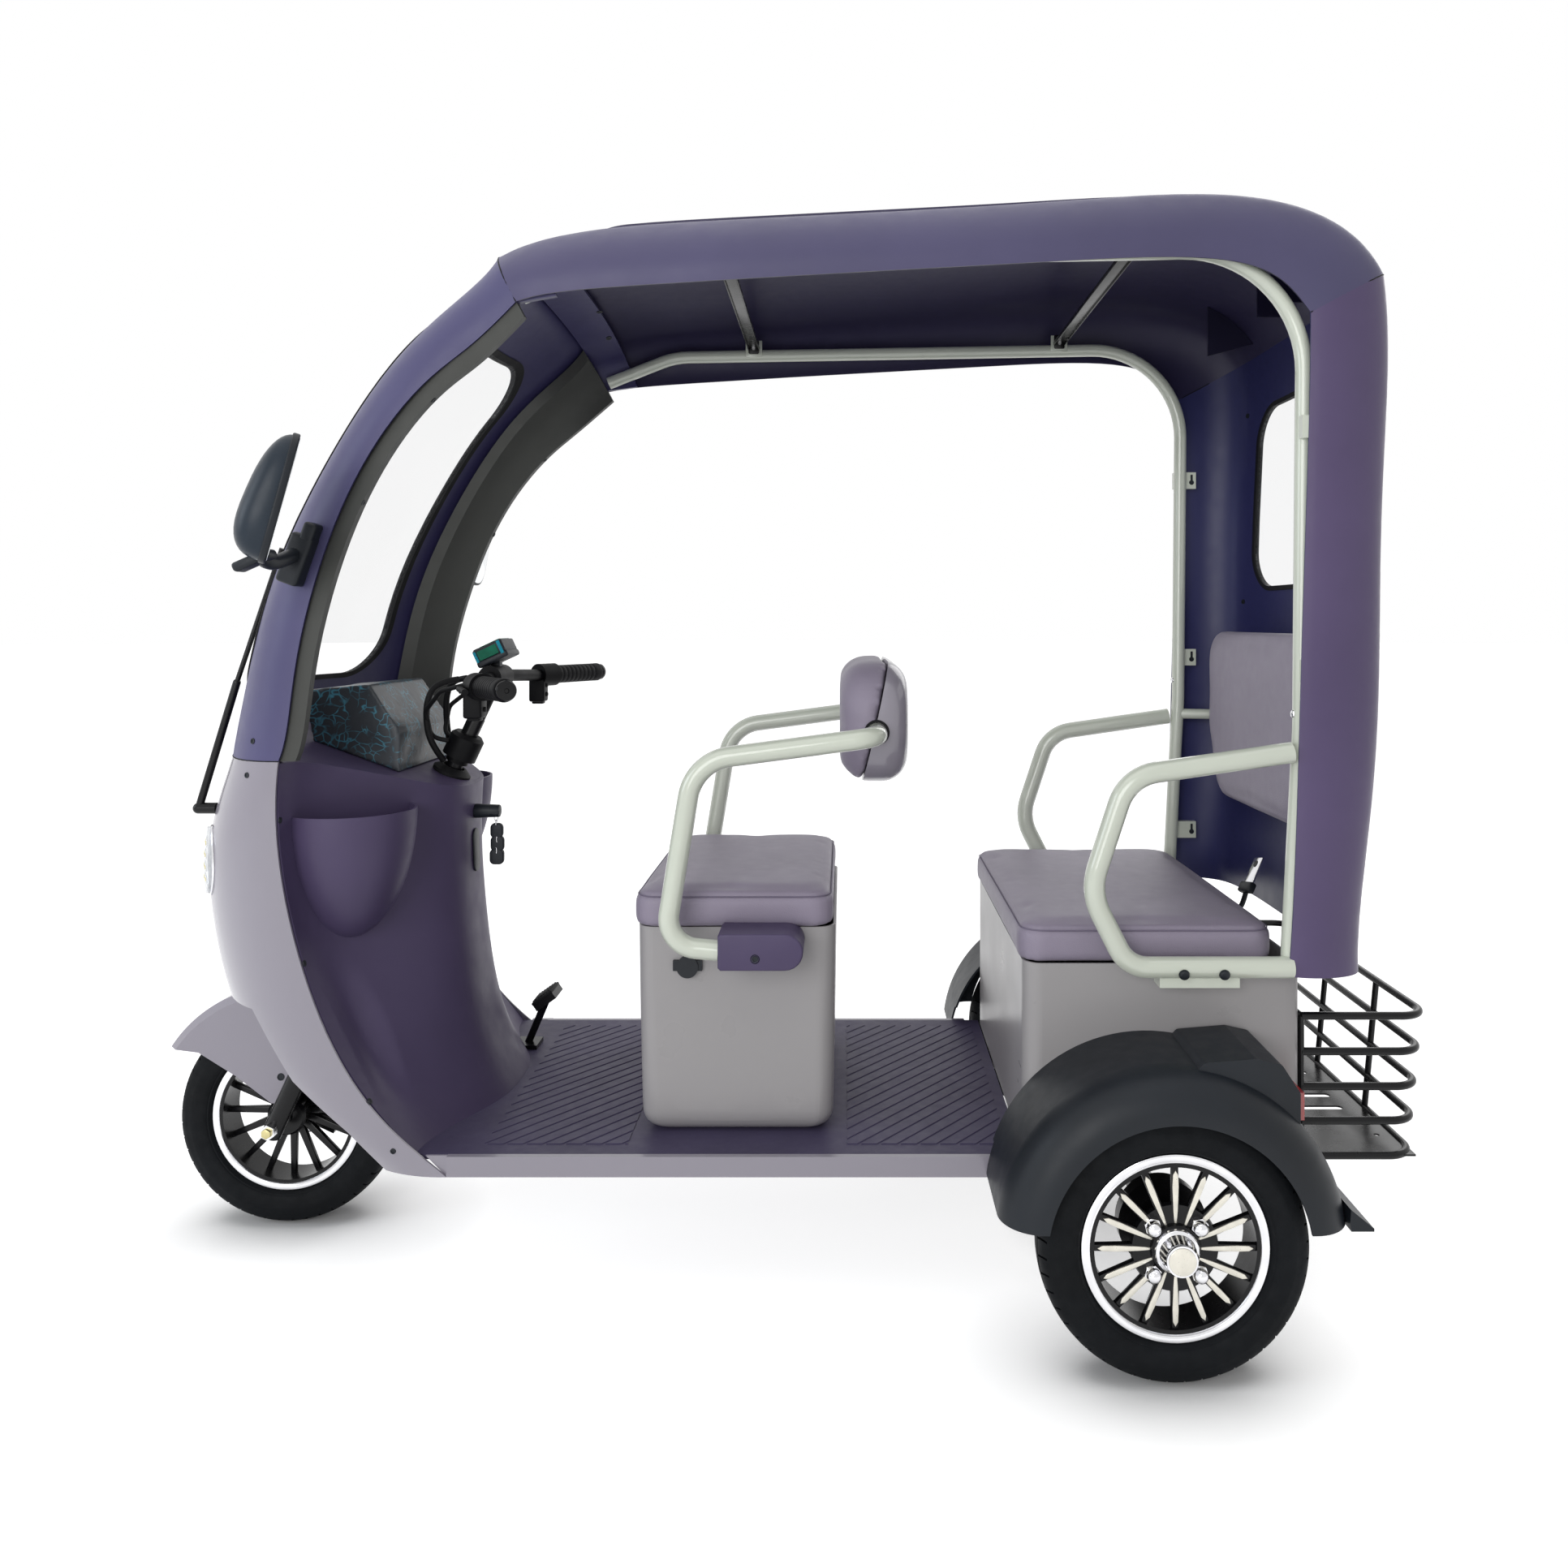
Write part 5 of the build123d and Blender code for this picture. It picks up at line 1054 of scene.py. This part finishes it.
def mirror_head(side):
    """A deep moulded shell with its rim, on a swivel foot and a pillar bracket."""
    piece = Piece("mirror_left" if side > 0 else "mirror_right")
    x, _, z = MIRROR_SPOT
    head = ball(1.0, 24)
    for vert in head.verts:
        vert.co = Vector([math.copysign(abs(part) ** SQUARED, part) for part in vert.co])
        vert.co.y *= 1 + FOOT_IN * min(0.0, vert.co.z)
        vert.co.x *= 1 - 0.24 * vert.co.z
    bmesh.ops.bisect_plane(
        head, geom=head.verts[:] + head.edges[:] + head.faces[:], dist=1e-5,
        plane_co=(0, 0, 0), plane_no=(-1, 0, 0), clear_outer=True)
    piece.add(head, MIRROR_BACK, mirror_place(side) @ stretch(0.047, 0.049, 0.092))
    rim = outline_block(mirror_outline(0.0515, 0.0945), 0.010, 0.0022, 3)
    piece.add(rim, BLACK_PLASTIC, mirror_place(side) @ at(-0.0015, 0, 0) @ turn(90, "Y") @ FLIP_X)
    plate = at(x + 0.027, side * 0.3425, z - 0.079) @ turn(-20, "Y")
    piece.add(box((0.034, 0.033, 0.078), 0.006, 3), BLACK_PLASTIC, plate)
    piece.add(box((0.020, 0.034, 0.030), 0.005, 3), BLACK_PLASTIC, plate @ at(-0.006, 0, 0.044))
    line = [(0.027, 0.352, -0.072), (0.030, 0.395, -0.086), (0.034, 0.428, -0.088), (0.032, 0.446, -0.078)]
    line = [(x + ax, side * ay, z + az) for ax, ay, az in line]
    piece.add(tube(line, 0.0110, resolution=6), BLACK_PLASTIC)
    foot = at(x + 0.040, side * 0.446, z - 0.086) @ turn(24, "Y")
    piece.add(box((0.056, 0.030, 0.014), 0.005, 3), BLACK_PLASTIC, foot)
    return piece


def mirrors():
    for side in (1, -1):
        name = "mirror_left" if side > 0 else "mirror_right"
        mirror_head(side).make("chassis", "black_plastic", "mirrors")
        glass = outline_block(mirror_outline(0.0465, 0.0895), 0.0012, 0.0004)
        place = mirror_place(side) @ at(-0.0027, 0, 0) @ turn(90, "Y") @ FLIP_X
        Piece(name + "_glass").add(glass, MIRROR, place).make("chassis", "mirror_face", "mirror_glass")


LAMP_Y, LAMP_Z = 0.234, 0.682
AHEAD = 1.2         # rays that look for the nose start this far forward


def from_ahead(node, y, z):
    """Where a node is first met from ahead, with its outward direction."""
    found, place, normal, _ = NODES[node].ray_cast(Vector((AHEAD, y, z)), Vector((-1, 0, 0)))
    return found, place, normal


def lamp_place(y, z, sunk):
    """A spot on the headlamp's face or the cowl beside it, sunk below the surface."""
    for node in ("headlamps", "front_cowl"):
        found, place, normal = from_ahead(node, y, z)
        if found:
            return facing(place - normal * sunk, normal)


def headlamp_inner():
    """Bezel and rows of light-emitting chips in each clear oval."""
    piece = Piece("headlamp_chips")
    for side in (1, -1):
        for row in range(4):
            for column in (-1, 1):
                spot = lamp_place(
                    side * (LAMP_Y + 0.011 * column), LAMP_Z + 0.019 * (row - 1.5), 0.0012)
                piece.add(box((0.0125, 0.0115, 0.0018), 0.0004, 1), STEEL, spot)
                piece.add(box((0.0060, 0.0060, 0.0012), 0.0004, 1), BRASS, spot @ at(0, 0, 0.0012))
        rim = []
        for number in range(48):
            angle = 2 * math.pi * number / 48
            y, z = side * (LAMP_Y + 0.0335 * math.cos(angle)), LAMP_Z + 0.0540 * math.sin(angle)
            _, place, normal = from_ahead("front_cowl", y, z)
            rim.append(place + normal * 0.0012)
        piece.add(tube(rim, 0.0020, closed=True, sides=2, resolution=3), STEEL)
    piece.make("chassis", "bright_steel")


def meter_screen():
    """Foot, case, hood, screen and bright side windows of the instrument."""
    tilt = at(0.4864, 0, 1.004) @ turn(25, "Y")
    case = Piece("meter_case")
    case.add(box((0.016, 0.018, 0.018), 0.002, 2), BLACK_PLASTIC, at(0.485, 0, 0.983))
    case.add(box((0.058, 0.079, 0.012), 0.004, 3), BLACK_PLASTIC, tilt @ at(0, 0, -0.0108))
    case.add(box((0.056, 0.078, 0.024), 0.004, 3), BLACK_PLASTIC, tilt @ at(0, 0, 0.0045))
    case.add(box((0.012, 0.064, 0.006), 0.002, 2), BLACK_PLASTIC, tilt @ at(0.021, 0, 0.0150))
    screen = outline_block(rounded_outline(0.040, 0.066, 0.005), 0.0012, 0.0004)
    case.add(screen, SCREEN, tilt @ at(-0.004, 0, 0.0166))
    for side in (1, -1):
        for x, long, high, colour in (
            (0.002, 0.036, 0.017, SCREEN), (-0.0215, 0.006, 0.024, SCREEN_EDGE),
            (0.0245, 0.005, 0.020, SCREEN_EDGE),
        ):
            case.add(box((long, 0.0014, high), 0.0004, 1), colour, tilt @ at(x, side * 0.0392, 0.003))
    for number, wide in enumerate((0.030, 0.020, 0.012)):
        line = tilt @ at(-0.014 + 0.009 * number, 0, 0.0174)
        case.add(box((0.0045, wide, 0.0006), 0.0002, 1), STEEL, line)
    case.make("steering", "black_plastic", "meter")


GRIP_BEND = (0.458, 0.200, 0.9553)
GRIP_END = (0.376, 0.330, 0.956)
GRIP_LONG = 0.118
GRIP_WEIGHT = [
    (0.0, 0.1186), (0.0150, 0.1186), (0.0158, 0.1200), (0.0160, 0.1270), (0.0148, 0.1290),
    (0.0040, 0.1296), (0.0030, 0.1280), (0.0, 0.1280),
]


def grip_line(side):
    """The bar's bend and end on one side, and the direction from one to the other."""
    bend, end = Vector(GRIP_BEND), Vector(GRIP_END)
    bend.y *= side
    end.y *= side
    return bend, end, (end - bend).normalized()


def grips():
    """Ribbed rubber grips with end weights."""
    piece = Piece("grip_rubbers")
    profile = [(0.0113, 0.0), (0.0175, 0.0), (0.0180, 0.0015), (0.0180, 0.0050)]
    for ring in range(9):
        start = 0.008 + ring * 0.011
        profile += [
            (0.0172, start), (0.0172, start + 0.0014), (0.0178, start + 0.0024), (0.0178, start + 0.0098)]
    profile += [(0.0180, 0.1125), (0.0180, 0.1170), (0.0170, 0.1185), (0.0113, 0.1185)]
    for side in (1, -1):
        _, end, run = grip_line(side)
        place = towards(end - run * GRIP_LONG, end)
        piece.add(turned(profile, 40, axis="Z"), RUBBER, place)
        piece.add(turned(GRIP_WEIGHT, 40, axis="Z", closed=False), BLACK_PAINT, place)
    piece.make("steering", "black_rubber", "grips")


FOLDS = 9               # directions that the film's folds run in
FOLD_RATE = 95
FOLD_HIGH = 0.0022


def console_film():
    """The crinkled film round the dash console."""
    piece = as_object("dash_console_film", cad_copy("dash_console"), FILM)
    remeshed(piece, 0.004)
    random.seed(11)
    ways = [Vector([random.uniform(-1, 1) for _ in range(3)]).normalized() for _ in range(FOLDS)]
    for vert in piece.data.vertices:
        waves = [math.sin(FOLD_RATE * vert.co.dot(way) + 9 * number) for number, way in enumerate(ways)]
        vert.co += vert.normal * (FOLD_HIGH * (sum(waves) / FOLDS) - 0.0006)
    for polygon in piece.data.polygons:
        polygon.use_smooth = True
    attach(piece, "chassis")
    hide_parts("dash_console")


def crossbars():
    """Dark channel bars across the roof, held in cream clips."""
    for number, x in enumerate((0.050, -0.576)):
        rail_z = 1.604 + (0.214 - x) * 0.018 / 1.044
        top = rail_z + 0.0125
        piece = Piece(f"roof_crossbar_{number + 1}")
        piece.add(box((0.024, 0.648, 0.0040), 0.0012, 2), BLACK_PAINT, at(x, 0, top + 0.0012))
        for edge in (-1, 1):
            flange = at(x + edge * 0.0105, 0, top - 0.001)
            piece.add(box((0.0022, 0.630, 0.0065), 0.0008, 1), BLACK_PAINT, flange)
        for side in (1, -1):
            clip = at(x, side * 0.3135, rail_z + 0.006)
            piece.add(box((0.034, 0.0022, 0.034), 0.0010, 2), CREAM, clip @ at(0, side * -0.0010, 0.006))
            block = clip @ at(0, side * -0.0040, 0.009)
            piece.add(box((0.022, 0.0060, 0.028), 0.0030, 2), BLACK_PAINT, block)
            rivet = clip @ at(0, side * -0.0070, 0.005) @ turn(90 * side, "X")
            piece.add(cone(0.0032, 0.0030, 0.0014, 20), STEEL, rivet)
        piece.make("chassis", "black_metal", "roof_crossbars")


def keyholes():
    """Keyhole openings in the pillar tabs: a slot over a round hole."""
    piece = Piece("tab_keyholes")
    # black plastic shapes on the tab faces stand in for the dark of the openings: painted shade
    for z in (1.351, 0.986, 0.630):
        for side in (1, -1):
            face = at(-0.853, side * 0.3296, z)
            hole = face @ at(0, 0, -0.004) @ turn(90, "X")
            piece.add(cone(0.0050, 0.0050, 0.0020, 24), BLACK_PLASTIC, hole)
            piece.add(box((0.0044, 0.0020, 0.0150), 0.0005, 1), BLACK_PLASTIC, face @ at(0, 0, 0.0045))
    piece.make("chassis", "black_plastic")


# each gusset's Y, and the X and Z of its inner corner
GUSSETS = ((-0.25, -0.862, 1.590), (-0.05, -0.890, 1.616), (0.03, -0.886, 1.622), (0.14, -0.896, 1.620))


def roof_gussets():
    """Triangular ribs where the roof turns down into the rear panel."""
    piece = Piece("roof_gussets")
    for y, front, foot in GUSSETS:
        corners = [(front, foot)]
        for share in range(7):
            way = math.radians(90 + 15 * share)
            found, place, _, _ = NODES["roof_shell"].ray_cast(
                Vector((front, y, foot)), Vector((math.cos(way), 0, math.sin(way))))
            if found:
                corners.append((place.x, place.z))
        web = outline_block(corners[::-1], 0.004, 0.0008, 1)
        # the gussets take the violet darkened as painted shade
        piece.add(web, VIOLET_PAINTED_SHADE, at(0, y, 0) @ turn(90, "X"))
    piece.make("chassis", "violet")


def belt_anchor():
    """Lap belt tongue standing up behind the passenger's cushion."""
    piece = Piece("belt_anchor")
    base = at(-0.872, -0.02, 0.606) @ turn(-28, "Y") @ turn(12, "X")
    piece.add(box((0.0040, 0.034, 0.062), 0.0015, 2), STEEL, base)
    piece.add(box((0.0140, 0.044, 0.020), 0.0040, 2), BLACK_PLASTIC, base @ at(0, 0, -0.028))
    piece.add(cone(0.0065, 0.0065, 0.0050, 24), BLACK_PLASTIC, base @ at(0.0026, 0, 0.018) @ turn(-90, "Y"))
    strap = [
        (-0.859, -0.0145, 0.580), (-0.855, -0.016, 0.560), (-0.848, -0.018, 0.543), (-0.834, -0.02, 0.528)]
    piece.add(tube(strap, 0.0045, resolution=6), BLACK_PLASTIC)
    piece.make("chassis", "bright_steel")


def pedal_pad():
    """Ribbed rubber on the brake pedal."""
    piece = Piece("pedal_rubber")
    base = at(0.434, -0.160, 0.338) @ turn(35, "Y")
    piece.add(box((0.046, 0.058, 0.006), 0.002, 2), RUBBER, base @ at(0, 0, 0.0082))
    for number in range(-3, 4):
        piece.add(box((0.0032, 0.052, 0.003), 0.001, 1), RUBBER, base @ at(number * 0.0060, 0, 0.0118))
    piece.make("chassis", "black_rubber")


BOX_FOOT = 0.036        # radius that the walls round in by at the foot
BOX_SPREAD = 0.022      # how far the front wall stands out at the foot
BOX_REAR_SHARE = 0.15   # what share of that the rear wall does


def seat_box_skin():
    """The rider's seat box: upright walls that round in at the foot."""
    low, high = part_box("front_seat_box")
    centre = (low + high) / 2
    part = cad_copy("front_seat_box")
    heights = [BOX_FOOT * (number / 8) ** 2 for number in range(1, 9)]
    heights += [BOX_FOOT + 0.036 * number for number in range(1, 9)]
    for height in heights:
        sliced(part, (0, 0, low.z + height), (0, 0, 1))
    half = (high.x - low.x) / 2
    for vert in part.verts:
        up = vert.co.z - low.z
        grow = BOX_SPREAD * (high.z - vert.co.z) / (high.z - low.z)
        short = BOX_FOOT - min(up, BOX_FOOT)
        tuck = BOX_FOOT - math.sqrt(max(0.0, BOX_FOOT ** 2 - short ** 2))
        if vert.co.x < centre.x:
            grow *= BOX_REAR_SHARE
        share = 1 + (grow - tuck * 0.8) / half
        vert.co.x = centre.x + (vert.co.x - centre.x) * share
        vert.co.y = centre.y + (vert.co.y - centre.y) * (1 - tuck * 0.6 / half)
    Piece("front_box_skin").add(part, LILAC).make("chassis", "lilac_box", "front_seat_box")


def sill_noses():
    """Pale fillers where each sill runs up into the front cowl."""
    piece = Piece("sill_noses")
    for side in (1, -1):
        corners = [(0.462, -0.015), (0.474, -0.015), (0.5035, 0.0148), (0.462, 0.0148)]
        nose = outline_block(corners, 0.010, 0.0006, 1)
        piece.add(nose, PALE, at(0, side * 0.3062, 0.2305) @ turn(90, "X"))
    piece.make("chassis", "pale_gloss")


def arm_covers():
    """Violet covers of the arm pivots: square in front, round behind."""
    low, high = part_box("arm_pivot_covers")
    tall = (high.z - low.z) / 2
    outline = [(high.x, -tall + 0.004), (high.x, tall - 0.004), (high.x - 0.004, tall)]
    for number in range(13):
        angle = math.radians(90 + 15 * number)
        outline.append((low.x + tall + tall * math.cos(angle), tall * math.sin(angle)))
    outline.append((high.x - 0.004, -tall))
    piece = Piece("arm_covers")
    for side in (1, -1):
        part = half_of("arm_pivot_covers", Vector((0, 0, 0)), Vector((0, -side, 0)))
        near = min(abs(vert.co.y) for vert in part.verts)
        part.free()
        block = outline_block(outline, high.y - near, 0.0035, 3)
        place = at(0, high.y if side > 0 else -near, (low.z + high.z) / 2) @ turn(90, "X")
        piece.add(block, VIOLET_LEG, place)
        dimple = [(0.0, -0.0006), (0.0058, -0.0006), (0.0066, 0.0006), (0.0072, -0.0004), (0.0, -0.0010)]
        place = at(0, side * (high.y + 0.0004), 0.5485) @ turn(-90 * side, "X")
        piece.add(turned(dimple, 24, axis="Z", closed=False), BLACK_PLASTIC, place)
    piece.make("chassis", "violet", "arm_pivot_covers")


def keys():
    """Ignition lock with its key and a short chain of fobs."""
    piece = Piece("key_set")
    lock = at(0.5246, 0, 0.722)
    piece.add(cone(0.0128, 0.0110, 0.0456, 32, 0.002), BLACK_PLASTIC, lock @ turn(-90, "Y"))
    piece.add(box((0.020, 0.022, 0.012), 0.004, 3), BLACK_PLASTIC, at(0.4885, 0, 0.7205))
    ways = [math.radians(30 * number) for number in range(12)]
    for z, across in ((0.7095, 0), (0.7005, 90)):
        link = [(0.0035 * math.cos(way), 0, 0.0060 * math.sin(way)) for way in ways]
        place = at(0.4860, 0, z) @ turn(across, "Z")
        piece.add(tube(link, 0.0008, sides=2, closed=True, resolution=3), STEEL, place)
    for x, z, wide, tall, thick in (
        (0.4862, 0.6860, 0.0225, 0.027, 0.0100), (0.4850, 0.6630, 0.0240, 0.028, 0.0095),
        (0.4862, 0.6395, 0.0250, 0.028, 0.0110),
    ):
        fob = outline_block(rounded_outline(wide, tall, 0.0085), thick, 0.0028, 3)
        piece.add(fob, BLACK_PLASTIC, at(x, 0, z) @ turn(90, "X"))
    for wire in (
        [(0.4850, 0, 0.676), (0.4865, 0, 0.671), (0.4850, 0, 0.666)],
        [(0.4862, 0, 0.656), (0.4850, 0, 0.651), (0.4862, 0, 0.646)],
    ):
        piece.add(tube(wire, 0.0009, resolution=3), STEEL)
    piece.make("chassis", "black_plastic", "ignition_lock")


def column_slot():
    """Upright black key plate on the rear face of the leg shield."""
    piece = Piece("column_slot")
    place, normal = on_surface("leg_shield", (0.50, 0.0, 0.654))
    slot = outline_block(rounded_outline(0.030, 0.076, 0.013), 0.0030, 0.0010, 2)
    piece.add(slot, BLACK_PLASTIC, facing(place + normal * 0.0004, normal))
    piece.make("chassis", "black_plastic")


HOLLOW_Y, HOLLOW_Z = 0.240, 0.405           # a foot hollow's middle
HOLLOW_WIDE, HOLLOW_TALL = 0.040, 0.135     # its half width and half height
HOLLOW_DEEP = 0.016


def foot_hollows():
    """The leg shield with its shallow foot hollows beside the column."""
    part = cad_copy("leg_shield")
    cuts = [((0, 0, HOLLOW_Z + HOLLOW_TALL * n / 16), (0, 0, 1)) for n in range(-16, 17)]
    for side in (1, -1):
        cuts += [((0, side * (HOLLOW_Y + HOLLOW_WIDE * n / 6), 0), (0, 1, 0)) for n in range(-8, 9)]
    for point, normal in cuts:
        sliced(part, point, normal)
    moves = []
    for vert in part.verts:
        up = (vert.co.z - HOLLOW_Z) / HOLLOW_TALL
        across = (abs(vert.co.y) - HOLLOW_Y - 0.03 * up * up) / HOLLOW_WIDE
        if abs(up) < 1 and abs(across) < 1:
            inward = Vector((0.86, -0.5 * math.copysign(1, vert.co.y), 0.0))
            moves.append((vert, inward * HOLLOW_DEEP * (1 - up * up) ** 2 * (1 - across * across) ** 2))
    for vert, move in moves:
        vert.co += move
    Piece("leg_shield_skin").add(part, VIOLET_LEG).make("chassis", "violet", "leg_shield")


COLLAR = [
    (0.0115, 0.0), (0.0168, 0.0), (0.0172, 0.002), (0.0172, 0.022), (0.0168, 0.024), (0.0115, 0.024),
]
SHEATH = (
    (0.546, 0.022, 0.958), (0.578, 0.040, 0.954), (0.592, 0.050, 0.925), (0.593, 0.052, 0.885),
    (0.586, 0.046, 0.845), (0.572, 0.024, 0.815),
)


def bar_gear():
    """Collars and switch boxes beside the grips, and sheaths down to the clamp."""
    piece = Piece("bar_gear")
    for side in (1, -1):
        bend, end, run = grip_line(side)
        piece.add(turned(COLLAR, 36, axis="Z"), BAR_BLACK, towards(bend + run * 0.004, end))
        piece.add(box((0.030, 0.034, 0.044), 0.004, 3), BAR_BLACK, at(0.462, side * 0.198, 0.926))
        piece.add(box((0.022, 0.018, 0.006), 0.002, 2), BAR_BLACK, at(0.462, side * 0.198, 0.9025))
        for z in (0.936, 0.918):
            button = at(0.4475, side * 0.198, z) @ turn(-90, "Y")
            piece.add(cone(0.0045, 0.0038, 0.004, 20, 0.0008), RUBBER, button)
        piece.add(tube([(x, side * y, z) for x, y, z in SHEATH], 0.0055, resolution=6), RUBBER)
    piece.make("steering", "black_plastic")


def fork_bolts():
    """Plated nuts at the front axle and bolt heads on the caliper."""
    piece = Piece("fork_bolts")
    for side in (1, -1):
        axle_end = at(0.846, side * 0.0995, 0.190) @ turn(-90 * side, "X")
        piece.add(cone(0.0095, 0.0087, 0.007, 6, 0.001), BRASS, axle_end)
    for x, z in ((0.786, 0.156), (0.820, 0.182)):
        found, place, normal, _ = NODES["brake_caliper"].ray_cast(Vector((x, -0.3, z)), Vector((0, 1, 0)))
        if found:
            bolt = facing(place - normal * 0.0005, normal)
            piece.add(cone(0.0045, 0.0041, 0.005, 6, 0.0008), BRASS, bolt)
    piece.make("steering", "bright_steel")


def fittings():
    screws()
    floor_ribs()
    body_seams()
    mirrors()
    headlamp_inner()
    meter_screen()
    grips()
    bar_gear()
    arm_covers()
    seat_box_skin()
    sill_noses()
    keys()
    column_slot()
    foot_hollows()
    console_film()
    crossbars()
    keyholes()
    roof_gussets()
    belt_anchor()
    pedal_pad()
    fork_bolts()


studio()
dress_nodes()
wheels()
upholstery()
fittings()
